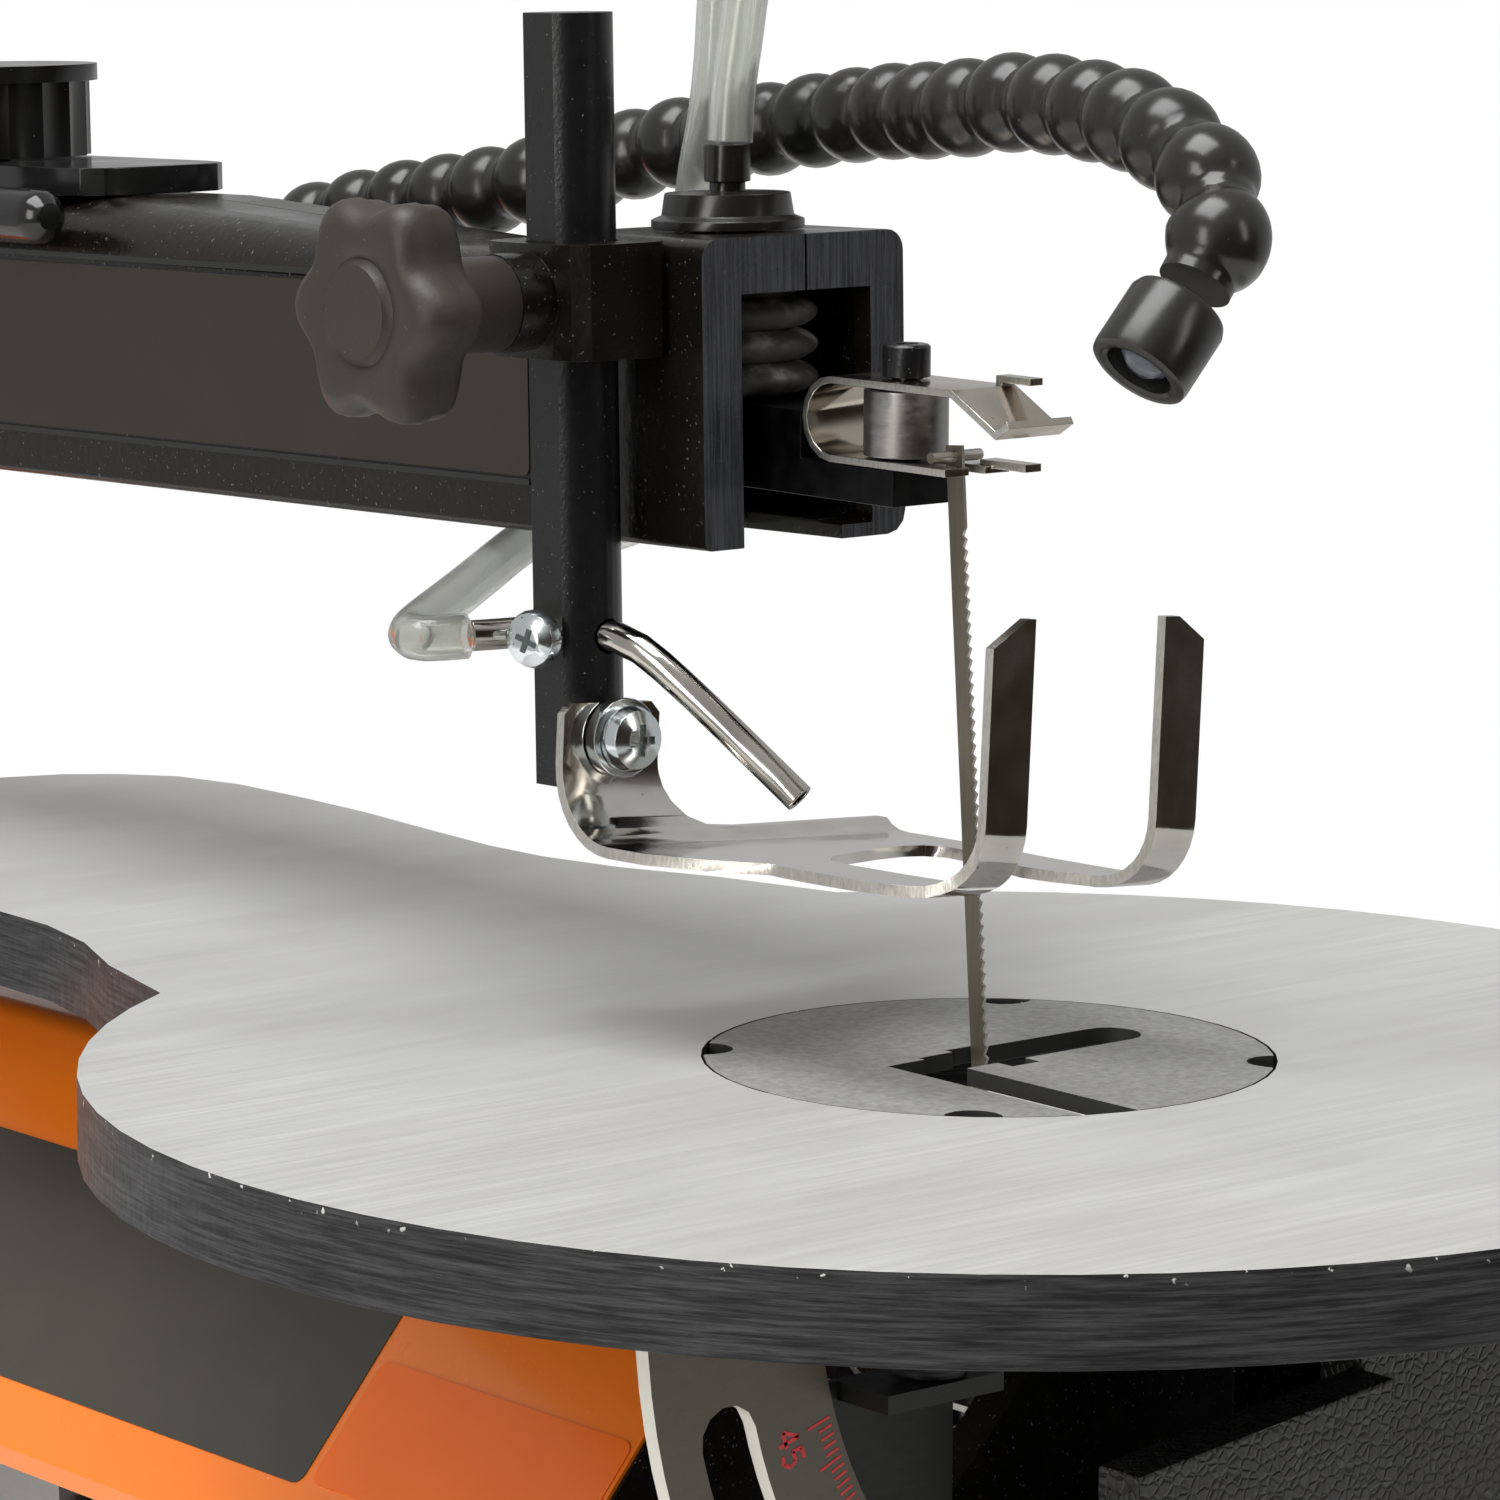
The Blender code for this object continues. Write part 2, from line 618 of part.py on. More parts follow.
def make_tension_rod(frame):
    top = Vector(ROD_TOP)
    foot = Vector(ROD_FOOT)
    along = (top - foot).normalized()
    lean = math.degrees(math.atan2(along.z, along.y))
    outline = arc((foot.y, foot.z), 6.5, lean + 90, lean + 270, 8)
    outline += arc((top.y, top.z), 6.5, lean - 90, lean + 90, 8)
    plate = prism("x", outline, -2.6, 2.6)
    stem = sweep([top + along * 4.6, top + along * 33.0], 3.0, 18)
    steps = [("add", rod("x", ROD_TOP, 2.5, -5.2, 5.2, 14)), ("add", rod("x", ROD_FOOT, 2.5, -5.2, 5.2, 14)),
             ("add", stem)]
    add_piece("tension_rod", combine(plate, *steps), "steel", frame, ROD_TOP)
    coil = []
    turns = 5
    low = foot.lerp(top, 0.3)
    side = Vector((1, 0, 0))
    other = along.cross(side)
    for step in range(turns * 10 + 1):
        angle = 2 * math.pi * step / 10
        rise = low + along * (step * 6.0 / 10)
        coil.append(rise + (side * math.cos(angle) + other * math.sin(angle)) * 9.2)
    add_piece("tension_spring", sweep(coil, 1.0, 5), "zinc", frame, ROD_TOP)
    make_tension_knob(frame, along)


def make_tension_knob(frame, along):
    """The knob screwed on the tension rod's threaded top, above the arm."""
    base = Vector(ROD_TOP) + along * 26.0
    lobes = lobed_outline((0, 0), 15.0, 1.8, 8, 6)
    knob = combine(prism("z", lobes, 0, 14), ("add", rod("z", (0, 0, 0), 8.0, -3.0, 1.0)),
                   ("cut", rod("z", (0, 0, 0), 3.3, -5, 9, 16)))
    turn = Vector((0, 0, 1)).rotation_difference(along).to_matrix().to_4x4()
    bmesh.ops.transform(knob, matrix=Matrix.Translation(base) @ turn, verts=knob.verts[:])
    add_piece("tension_knob", knob, "black_plastic", frame, tuple(base))


def lobed_outline(centre, radius, wave, lobes, steps_per_lobe):
    points = []
    total = lobes * steps_per_lobe
    for step in range(total):
        angle = 2 * math.pi * step / total
        reach = radius - wave + wave * math.cos(lobes * angle)
        points.append((centre[0] + reach * math.cos(angle), centre[1] + reach * math.sin(angle)))
    return points


def make_blade(frame):
    """A pin-end blade, 127 mm long, with 15 teeth to the inch on its front edge."""
    foot = Vector(LOWER_PIN)
    top = Vector(UPPER_PIN)
    along = (top - foot).normalized()
    front = Vector((0, -along.z, along.y))
    pitch = 25.4 / 15
    tail = 1.5
    length = (top - foot).length + 2 * tail

    def spot(distance, reach):
        point = foot + along * (distance - tail) + front * reach
        return (point.y, point.z)

    outline = [spot(0, -1.65), spot(0, 1.65), spot(9.0, 1.65)]
    teeth = int((length - 20.0) / pitch)
    for tooth in range(teeth):
        start = 9.0 + tooth * pitch
        outline.append(spot(start + 0.25 * pitch, 0.95))
        outline.append(spot(start + pitch, 1.65))
    outline += [spot(length, 1.65), spot(length, -1.65)]
    strip_mesh = prism("x", outline, -0.25, 0.25)
    pins = [("add", rod("x", LOWER_PIN, 0.8, -4.6, 4.6, 12)),
            ("add", rod("x", UPPER_PIN, 0.8, -4.6, 4.6, 12))]
    add_piece("saw_blade", combine(strip_mesh, *pins), "blade_steel", frame, UPPER_PIN)


def clip_parts():
    """The spring clip that holds the blade's upper pin, with its spacer and screw."""
    def z(height):
        return TABLE_TOP + height

    bend = [(y, w) for y, w in arc((28.0, z(87.4)), 5.55, -90, 90, 8)]
    edge = [(3.6, z(81.85))] + bend + [(2.5, z(92.95)), (-6.6, z(88.0)), (-9.2, z(89.6))]
    clip = prism("x", strip(edge, 1.1), -6, 6)
    clip = combine(
        clip,
        ("cut", block((-1.5, 1.0, z(80)), (1.5, 11.5, z(84)))),
        ("add", block((2.6, -3.4, z(82.0)), (5.6, 6.0, z(83.1)))),
        ("cut", rod("z", (0, 18.6, 0), 2.3, z(79), z(96), 16)),
        ("add", block((3.6, 2.6, z(92.45)), (6.0, 4.0, z(94.9)))),
        ("add", block((3.6, -3.1, z(93.9)), (6.0, 4.0, z(94.9)))),
    )
    spacer = combine(rod("z", (0, 18.6, 0), 6.0, z(82.7), z(92.1)),
                     ("cut", rod("z", (0, 18.6, 0), 2.3, z(80), z(95), 16)))
    head = [(0, z(76.5)), (2.0, z(76.5)), (2.0, z(93.8)), (3.4, z(93.8)), (3.4, z(98.0)), (3.0, z(98.4)),
            (0, z(98.4))]
    socket = prism("z", circle((0, 18.6), 1.75, 6), z(96.0), z(99))
    screw = combine(lathe("z", (0, 18.6, 0), head, 20), ("cut", socket))
    return clip, spacer, screw


def make_clips(frame):
    names = ("blade_clip", "clip_spacer", "clip_screw")
    looks = ("nickel", "steel", "black_oxide")
    for label, mesh, look in zip(names, clip_parts(), looks):
        add_piece("upper_" + label, mesh, look, frame, UPPER_PIVOT)
    centre = TABLE_TOP + 43.3
    for label, mesh, look in zip(names, clip_parts(), looks):
        bmesh.ops.scale(mesh, vec=(1, 1, -1), verts=mesh.verts[:])
        bmesh.ops.reverse_faces(mesh, faces=mesh.faces[:])
        bmesh.ops.translate(mesh, vec=(0, PIN_OFFSET.y, centre + TABLE_TOP), verts=mesh.verts[:])
        add_piece("lower_" + label, mesh, look, frame, LOWER_PIVOT)


# Drive

def make_drive(frame):
    rod_x = (-11.8, -6.2)
    outline = arc((MOTOR_Y, MOTOR_Z), 13.0, 158, 382, 16) + arc((MOTOR_Y, ROD_PIN_Z), 5.5, 20, 160, 8)
    plate = prism("x", outline, *rod_x)
    plate = combine(plate, ("cut", rod("x", (0, MOTOR_Y, MOTOR_Z), 9.7, -14, -4)),
                    ("add", rod("x", (0, MOTOR_Y, ROD_PIN_Z), 3.0, -7.5, 5.2, 16)))
    add_piece("connecting_rod", plate, "steel", frame, (0, MOTOR_Y, ROD_PIN_Z))
    wheel = combine(rod("x", (0, MOTOR_Y, MOTOR_Z), 25.0, -5.6, 3.0, 36),
                    ("cut", rod("x", (0, MOTOR_Y, MOTOR_Z), 4.3, -2.9, 5, 20)),
                    ("add", rod("x", (0, MOTOR_Y + CRANK_THROW, MOTOR_Z), 2.5, -11.6, -4, 16)))
    add_piece("crank_wheel", wheel, "cast_grey", frame, (0, MOTOR_Y, MOTOR_Z))
    shaft = [(0, -2.5), (4.0, -2.5), (4.0, 36.0), (26.0, 36.0), (26.0, 92.0), (4.0, 92.0), (4.0, 117.0),
             (0, 117.0)]
    add_piece("motor_rotor", lathe("x", (0, MOTOR_Y, MOTOR_Z), shaft, 24), "steel", frame,
              (0, MOTOR_Y, MOTOR_Z))
    shell = rod("x", (0, MOTOR_Y, MOTOR_Z), MOTOR_RADIUS, 20.0, 112.0, 32)
    saddle = block((34, MOTOR_Y - 26, BASE_TOP + GAP), (48 - GAP, MOTOR_Y + 26, MOTOR_Z - 26))
    motor = combine(shell, ("add", saddle),
                    ("cut", rod("x", (0, MOTOR_Y, MOTOR_Z), MOTOR_RADIUS - 4, 24.0, 116.0, 32)),
                    ("cut", rod("x", (0, MOTOR_Y, MOTOR_Z), 6.0, 15.0, 30.0, 20)))
    add_piece("motor_housing", motor, "black_paint", frame)
    cover = rod("x", (0, MOTOR_Y, MOTOR_Z), MOTOR_RADIUS, 112.0 + GAP, 122.0, 32)
    steps = [("cut", rod("x", (0, MOTOR_Y, MOTOR_Z), MOTOR_RADIUS - 4, 110.0, 119.0, 32))]
    for row in range(-2, 3):
        y = MOTOR_Y + 11.0 * row
        steps.append(("cut", block((117, y - 1.5, MOTOR_Z - 18), (124, y + 1.5, MOTOR_Z + 18))))
    add_piece("motor_end_cover", combine(cover, *steps), "black_plastic", frame)


# Table and its tilt

def table_outline():
    front = arc((0, 0), TABLE_RADIUS, 121.0, 419.0, 56)
    left = [(-59.5, 131.0), (-52.3, 148.5), (-48.8, 164.0), (-48.2, 178.0), (-49.6, 196.0)]
    right = [(-x, y) for x, y in left]
    rear = [(-51.6, 218), (-52, 237), (-51.5, 255), (-48, 268.7), (-41, 277.5), (-33, 283.5), (-22, 287.3),
            (-10, 288.8)]
    mirror = [(-x, y) for x, y in rear]
    return front + right + mirror + rear[::-1] + left[::-1]


def make_table(frame):
    base = TABLE_TOP - TABLE_THICK
    pivot = (0, 0, TILT_AXIS_Z)
    seat = TABLE_TOP - INSERT_THICK - GAP
    steps = [("cut", rod("z", (0, 0, 0), INSERT_RADIUS + GAP, seat, TABLE_TOP + 1, 48)),
             ("cut", rod("z", (0, 0, 0), 34.0, base - 1, TABLE_TOP, 48))]
    for start, end in ((12, 80), (100, 168), (282, 348)):
        sector = arc((0, 0), 119.0, start, end, 14) + arc((0, 0), 50.0, end, start, 8)
        steps.append(("cut", prism("z", sector, base - 1, base + 6.0)))
    rear = fillet(box_outline(-42, 200, 42, 276), 12)
    steps.append(("cut", prism("z", rear, base - 1, base + 6.0)))
    steps.append(("add", rod("z", (-50, -44.5, 0), 5.0, base - 16, base + 2, 24)))
    half_disc = arc((0, TILT_AXIS_Z), 18.0, 180, 360, 24) + [(18.0, base + 1), (-18.0, base + 1)]
    steps.append(("add", prism("y", half_disc, -37.4, -30.0)))
    plate = prism("z", table_outline(), base, TABLE_TOP)
    add_piece("table", combine(plate, *steps), "machined", frame, pivot)
    insert = rod("z", (0, 0, 0), INSERT_RADIUS, TABLE_TOP - INSERT_THICK, TABLE_TOP, 48)
    low = TABLE_TOP - INSERT_THICK - 1
    high = TABLE_TOP + 1
    slot_end = arc((23.0, 0.0), 4.6, -90, 90, 8)
    steps = [("cut", prism("z", box_outline(-16, -42, -8.3, 3.2), low, high)),
             ("cut", prism("z", [(-9, -4.6)] + slot_end + [(-9, 4.6)], low, high)),
             ("cut", prism("z", box_outline(-2.6, -7.7, 2.6, 6.3), low, high))]
    for angle in (45, 135, 225, 315):
        x = INSERT_RADIUS * math.cos(math.radians(angle))
        y = INSERT_RADIUS * math.sin(math.radians(angle))
        steps.append(("cut", rod("z", (x, y, 0), 4.0, low, high, 16)))
    add_piece("table_insert", combine(insert, *steps), "cast_grey", frame, pivot)


def tilt_point(radius, angle):
    return (radius * math.cos(math.radians(angle)), TILT_AXIS_Z + radius * math.sin(math.radians(angle)))


def arc_slot(centre, radius, half, start, end):
    """The outline of a slot with round ends that follows an arc about the tilt axis."""
    outline = arc(centre, radius + half, start, end, 16)
    outline += arc(tilt_point(radius, end), half, end, end + 180.0, 6)[1:]
    outline += arc(centre, radius - half, end, start, 16)[1:]
    return outline + arc(tilt_point(radius, start), half, start - 180.0, start, 6)[1:-1]


def make_tilt(frame):
    centre = (0, TILT_AXIS_Z)
    back = BEVEL_Y + BEVEL_THICK
    flange_top = TILT_AXIS_Z - 16.3
    first, last = BEVEL_SPAN
    sector = arc(centre, BEVEL_OUTER, first, last, 20) + arc(centre, BEVEL_INNER, last, first, 20)
    web = [(-66.0, flange_top), (-42.0, flange_top), (-42.0, TILT_AXIS_Z - 58), (-64.0, TILT_AXIS_Z - 30)]
    flange = block((-62, -50, flange_top - 2.5), (-42, back, flange_top))
    slot = arc_slot(centre, BEVEL_SLOT, BEVEL_SLOT_HALF, *SLOT_SPAN)
    plate = combine(prism("y", sector, BEVEL_Y, back), ("add", prism("y", web, BEVEL_Y + 1.2, back)),
                    ("add", flange), ("cut", prism("y", slot, BEVEL_Y - 2, back + 2)))
    add_piece("bevel_plate", plate, "steel", frame, (0, 0, TILT_AXIS_Z))
    make_trunnion(frame)
    make_lock(frame)


def make_trunnion(frame):
    axis = TILT_AXIS_Z
    lock = tilt_point(BEVEL_SLOT, LOCK_DEGREES)
    cheek = [(-2, axis - 7), (26, axis - 3), (36, axis - 18), (36, BASE_TOP + GAP), (-56, BASE_TOP + GAP),
             (-56, axis - 63)]
    ring = arc((0, axis), 24.0, 231, 345, 14) + arc((0, axis), 18.3, 345, 231, 14)
    steps = [("add", prism("y", ring, -37.4, -28.0)),
             ("cut", rod("y", (lock[0], 0, lock[1]), 4.3, -40, -10, 20)),
             ("add", block((-44, -24, BASE_TOP + GAP), (-34, 44.7, 60))),
             ("add", block((26, -24, BASE_TOP + GAP), (36, 44.7, 60)))]
    add_piece("trunnion_bracket", combine(prism("y", cheek, -29.7, -23.0), *steps), "black_paint", frame)


def make_lock(frame):
    x, z = tilt_point(BEVEL_SLOT, LOCK_DEGREES)
    centre = (x, 0, z)
    lobes = prism("y", lobed_outline((x, z), 12.8, 1.4, 7, 6), -62.0, -49.0)
    knob = combine(lobes, ("add", rod("y", centre, 8.0, -50.0, -45.0)),
                   ("add", rod("y", centre, 4.0, -46.0, -24.0, 20)))
    add_piece("tilt_lock_knob", knob, "black_plastic", frame, (x, -45.0, z))
    inward = Vector((-x, axis_drop(z))).normalized()
    side = Vector((-inward.y, inward.x))
    tip = Vector((x, z)) + inward * 15.0
    root = Vector((x, z)) + inward * 5.5
    arrow = [tuple(root + side * 3.0), tuple(tip), tuple(root - side * 3.0)]
    pointer = combine(rod("y", centre, 7.5, -44.6, -43.2), ("add", prism("y", arrow, -44.5, -43.3)),
                      ("cut", rod("y", centre, 4.3, -46, -42, 20)))
    add_piece("tilt_pointer", pointer, "red_plastic", frame)


def axis_drop(z):
    return TILT_AXIS_Z - z


# Foot post, hold-down foot and blower

def make_post(arm):
    half = math.degrees(math.asin(math.sqrt(POST_RADIUS ** 2 - 5.42 ** 2) / POST_RADIUS))
    outline = arc((POST_X, POST_V), POST_RADIUS, 180 + half, 540 - half, 28)
    post = prism("z", outline, POST_FOOT_W, POST_TOP_W)
    screw_v, screw_w = arm_place(FOOT_AXIS)
    bores = [("cut", rod("y", (POST_X, 0, screw_w), 2.3, 5, 22.6, 16))]
    tube = [arm_point(point) for point in blower_path()]
    bores.append(("cut", sweep(tube, 2.6, 12)))
    head = Vector(arm_point(SET_SCREW))
    bores.append(("cut", sweep([head, head + SET_SCREW_AXIS * 5.0], 1.9, 12)))
    add_piece("foot_post", combine(post, *bores), "black_oxide", arm)




def arm_point(point):
    return (point[0], *arm_place(point))


def blower_path():
    z = TABLE_TOP
    points = [(-41.2, 65.17, z + 55.6), (-37.0, 63.6, z + 55.7), (-31.6, 61.4, z + 55.9),
              (-28.2, 57.0, z + 56.0),
              (-27.4, 51.5, z + 55.9), (-26.0, 46.4, z + 54.8), (-22.6, 38.6, z + 48.9),
              (-15.0, 23.5, z + 34.8)]
    return even_path(points, 4.0)


def make_blower(arm):
    path = [Vector(arm_point(point)) for point in blower_path()]
    tube = sweep(path, 2.25, 12)
    bore = [path[0] - (path[1] - path[0])] + path + [path[-1] + (path[-1] - path[-2])]
    add_piece("blower_tube", combine(tube, ("cut", sweep(bore[-3:], 1.5, 8))), "chrome", arm)
    head = Vector(arm_point(SET_SCREW))
    ring = [(0, 0), (2.2, 0), (3.8, 0.9), (4.2, 2.0), (4.2, 3.0), (1.6, 3.0), (1.6, 6.0), (0, 6.0)]
    screw = lathe("z", (0, 0, 0), ring, 20)
    turn = Vector((0, 0, 1)).rotation_difference(SET_SCREW_AXIS).to_matrix().to_4x4()
    shift = Matrix.Translation(head - SET_SCREW_AXIS * 3.0)
    bmesh.ops.transform(screw, matrix=shift @ turn, verts=screw.verts[:])
    add_piece("tube_set_screw", screw, "zinc", arm)


def make_foot(frame):
    """The hold-down foot: an upright plate that bends forward into a wide fork."""
    holder = empty("foot_frame", FOOT_AXIS, frame, (-FOOT_PITCH, FOOT_ROLL, 0.0))
    heel = 11.6
    toe = 9.7
    edge = [(0, FOOT_TOP), (0, FOOT_FLOOR + heel)]
    edge += arc((-heel, FOOT_FLOOR + heel), heel, 0, -90, 8)[1:]
    edge += [(FOOT_FRONT + toe, FOOT_FLOOR)]
    edge += arc((FOOT_FRONT + toe, FOOT_FLOOR + toe), toe, -90, -180, 8)[1:] + [(FOOT_FRONT, PRONG_TOP)]
    sheet = prism("x", strip(edge, SHEET), -14.0, 60.0)
    shoulder = [(7.9, 8.0), (7.9, -4.7), (8.4, -7.2), (9.3, -9.3), (11.0, -11.4), (14.0, -12.7),
                (20.0, -13.0),
                (60.0, -12.6), (60.0, 8.0)]
    steps = [("keep", prism("z", foot_plan(), -40.0, 30.0)), ("cut", prism("y", shoulder, -25, 3)),
             ("cut", rod("y", (0, 0, 0), 2.8, -5, 5, 16))]
    for tip in ([(4.2, 17.95), (4.2, 26.0), (16.6, 26.0)], [(45.2, 18.6), (45.2, 26.0), (34.1, 26.0)]):
        steps.append(("cut", prism("y", tip, FOOT_FRONT - 5, FOOT_FRONT + 5)))
    for corner in ([(-10.0, 2.7), (-10.0, 6.0), (-6.9, 6.0)], [(8.6, 2.6), (8.6, 6.0), (5.3, 6.0)]):
        steps.append(("cut", prism("y", corner, -5, 5)))
    add_piece("hold_down_foot", combine(sheet, *steps), "chrome", holder)
    washer = combine(rod("y", (0, 0, 0), 5.75, -3.2, -1.1, 24), ("cut", rod("y", (0, 0, 0), 2.8, -5, 0, 16)))
    add_piece("foot_washer", washer, "zinc", holder)
    head = [(0, -6.9), (2.4, -6.9), (4.2, -6.0), (4.75, -4.8), (4.75, -3.5), (2.45, -3.5), (2.45, 0.4),
            (2.0, 0.4),
            (2.0, 11.0), (0, 11.0)]
    cross = cross_outline((0, 0), 2.3, 0.55)
    screw = combine(lathe("y", (0, 0, 0), head, 24), ("cut", prism("y", cross, -8.0, -5.2)))
    add_piece("foot_screw", screw, "zinc", holder)


def cross_outline(centre, reach, half):
    points = [(reach, -half), (reach, half), (half, half), (half, reach), (-half, reach), (-half, half),
              (-reach, half), (-reach, -half), (-half, -half), (-half, -reach), (half, -reach), (half, -half)]
    return [(centre[0] + a, centre[1] + b) for a, b in points]


def foot_plan():
    """The flat shape of the foot seen from above, with its two prongs to the front."""
    left = [(-9.4, 3), (-9.4, -20), (-5.3, -29), (0.2, -35.6), (-0.3, -39), (-0.7, -47), (-0.6, -54),
            (0.8, -61),
            (2.6, -65.5), (4.4, -69), (5.2, -72), (5.2, -80)]
    gap = [(12.7, -80), (12.7, -70), (10.9, -63), (10.4, -52), (10.4, -40), (11.6, -35), (15.6, -31),
           (22.0, -28.6),
           (28.0, -26.4), (34.0, -25.0), (37.4, -25.4), (39.6, -28), (39.0, -33), (35.0, -44), (33.2, -51),
           (33.7, -56.4), (35.6, -62), (36.7, -70), (36.7, -80)]
    right = [(44.2, -80), (44.2, -62), (44.4, -53), (44.8, -44), (45.8, -36), (46.7, -24), (46.9, -15),
             (46.8, -10),
             (47.0, -8), (47.6, -5.5), (47.7, 3)]
    return left + gap + right


def make_post_knob(arm):
    centre = (0, POST_V, KNOB_W)
    head = prism("x", lobed_outline((POST_V, KNOB_W), 15.2, 1.7, 6, 9), KNOB_FACE, KNOB_BACK)
    knob = combine(head, ("add", rod("x", centre, 6.75, KNOB_BACK - 1.0, -42.3)),
                   ("add", rod("x", centre, 4.0, -43.0, POST_X - 5.42 - GAP, 20)))
    add_piece("post_lock_knob", knob, "black_plastic", arm, (KNOB_BACK, POST_V, KNOB_W))


def make_hose(frame):
    z = TABLE_TOP
    route = [(0, 57.5, z + 124.6), (0.8, 57.8, z + 132.0), (2.8, 58.3, z + 141.0), (6.0, 59.8, z + 154.0),
             (10.0, 64.0, z + 165.5), (14.4, 71.0, z + 169.0), (17.0, 77.5, z + 162.0),
             (17.3, 80.5, z + 148.0),
             (16.7, 81.0, z + 135.0), (16.6, 82.2, z + 127.0), (17.8, 86.0, z + 118.5),
             (19.8, 89.3, z + 112.4),
             (22.8, 92.4, z + 105.5), (24.6, 95.5, z + 97.0), (25.0, 99.0, z + 84.0), (24.6, 101.6, z + 73.0),
             (22.4, 103.0, z + 65.6), (16.0, 103.8, z + 62.8), (7.0, 104.0, z + 62.9),
             (-0.5, 102.6, z + 62.8),
             (-5.6, 100.0, z + 62.4), (-20.1, 90.0, z + 60.2), (-31.6, 82.0, z + 58.5),
             (-41.4, 76.0, z + 56.7),
             (-45.7, 73.0, z + 55.9), (-47.9, 70.0, z + 55.6), (-47.1, 67.4, z + 55.5),
             (-41.9, 65.45, z + 55.6)]
    points = even_path(route, 5.0)
    curve = bpy.data.curves.new("air_hose", "CURVE")
    curve.dimensions = "3D"
    curve.bevel_depth = 3.3 * MM
    curve.bevel_resolution = 2
    curve.use_fill_caps = True
    spline = curve.splines.new("POLY")
    spline.points.add(len(points) - 1)
    for knot, point in zip(spline.points, points):
        knot.co = (*(Vector(point) * MM), 1.0)
    thing = bpy.data.objects.new("air_hose", curve)
    bpy.context.scene.collection.objects.link(thing)
    thing.parent = frame
    curve.materials.append(finish_material("air_hose", "clear_tube"))


# Controls and lamp

def make_controls(frame):
    front = -60.0
    floor = BASE_TOP + GAP
    left = [(-27, floor), (20.6, floor), (20.6, TABLE_TOP - 37.5), (-27, TABLE_TOP - 43)]
    right = [(20, floor), (118, floor), (118, TABLE_TOP - 31), (20, TABLE_TOP - 27)]
    foot = block((-27, -53, floor), (118, -2, 92))
    box = combine(prism("y", left, front, front + 8), ("add", prism("y", right, front + 6, front + 14)),
                  ("add", foot), ("cut", block((35, -44, floor - 1), (112, -6, 86))),
                  ("cut", block((48, front, 100), (74, -40, 132))),
                  ("cut", rod("y", (96, 0, 110), 3.4, front, -40, 16)),
                  ("cut", block((-60, -30.2, floor - 1), (36.4, 0, 95))))
    add_piece("control_box", box, "black_plastic", frame)
    rocker = [(-48.0, 101), (-48.0, 131), (-56.0, 131.0), (-58.2, 127.0), (-55.5, 116.0), (-55.0, 101)]
    add_piece("power_switch", prism("x", [(y, z) for y, z in rocker], 48.6, 73.4), "red_plastic", frame,
              (61, -50.5, 116))
    dial = combine(prism("y", lobed_outline((96, 110), 12.0, 0.8, 14, 4), -67, -54.4),
                   ("add", rod("y", (96, 0, 110), 3.0, -55.0, -47.0, 16)))
    add_piece("speed_knob", dial, "black_plastic", frame, (96, -54.4, 110))


def beaded(route, pitch, sides=9):
    """A gooseneck: ball joints threaded along a smooth route, each in the next one's socket."""
    fine = even_path(route, pitch / 3)
    radii = [(5.0, 6.7, 6.7)[index % 3] for index in range(len(fine))]
    return sweep(fine, radii, sides)


def make_lamp(frame):
    z = TABLE_TOP
    lower = [(26.6, 213, z + 98.5), (27.6, 196, z + 103.5), (28.5, 175.5, z + 107.7), (27.7, 157, z + 110.3),
             (27.2, 142, z + 112.8), (29, 128, z + 116)]
    upper = [(29.8, 121.0, z + 117.6), (29.6, 110, z + 120.2), (28.7, 99, z + 121.8), (27.4, 83.6, z + 124),
             (26, 67, z + 126.5), (21.5, 47, z + 128.7), (16, 28, z + 130), (12.4, 9, z + 132),
             (7.7, -9, z + 132),
             (2.2, -26, z + 131), (-2, -39, z + 128), (-5, -47.6, z + 123.7), (-8.4, -52.6, z + 118.3)]
    add_piece("lamp_base", combine(rod("y", (26, 0, z + 95), 7.2, 216.8, 232.0),
                                   ("add", block((ARM_RIGHT + GAP, 218, z + 88), (27, 230, z + 102)))),
              "black_plastic", frame)
    add_piece("gooseneck_lower", beaded(lower, 8.2), "black_plastic", frame, lower[0])
    add_piece("gooseneck_upper", beaded(upper, 8.2), "black_plastic", frame, upper[0])
    start = Vector((-11.4, -52.9, z + 114.2))
    tip = Vector((-23.4, -52.9, z + 101.2))
    along = (tip - start).normalized()
    path = [start, start + along * 3, start + along * 5, tip]
    bore = sweep([tip - along * 6, tip + along * 2], 4.5, 20)
    shell = combine(sweep(path, [4.6, 5.6, 5.75, 5.75], 24), ("cut", bore))
    add_piece("lamp_head", shell, "black_plastic", frame, tuple(start))
    dome = [(0, 0), (4.1, 0), (4.1, 2.0), (3.4, 3.8), (2.0, 5.0), (0, 5.4)]
    lens = lathe("z", (0, 0, 0), dome, 20)
    turn = Vector((0, 0, 1)).rotation_difference(along).to_matrix().to_4x4()
    bmesh.ops.transform(lens, matrix=Matrix.Translation(tip - along * 5.6) @ turn, verts=lens.verts[:])
    add_piece("lamp_lens", lens, "clear_lens", frame, tuple(start))


def main():
    for thing in list(bpy.data.objects):
        bpy.data.objects.remove(thing)
    frame = empty("saw_frame", (0.0, FRAME_SHIFT_Y, 0.0), None)
    arm = empty("arm_frame", (0.0, ARM_FRONT_Y, ARM_FRONT_Z), frame, (-ARM_PITCH, 0.0, 0.0))
    make_base(frame)
    make_stands(frame)
    make_lower_housing(frame)
    make_column(frame)
    make_arm_housing(arm)
    make_arm_cover(arm)
    make_tension_lever(arm)
    make_air_pump(arm)
    make_rockers(frame)
    make_tension_rod(frame)
    make_blade(frame)
    make_clips(frame)
    make_drive(frame)
    make_table(frame)
    make_tilt(frame)
    make_post(arm)
    make_post_knob(arm)
    make_blower(arm)
    make_foot(frame)
    make_hose(frame)
    make_controls(frame)
    make_lamp(frame)


main()
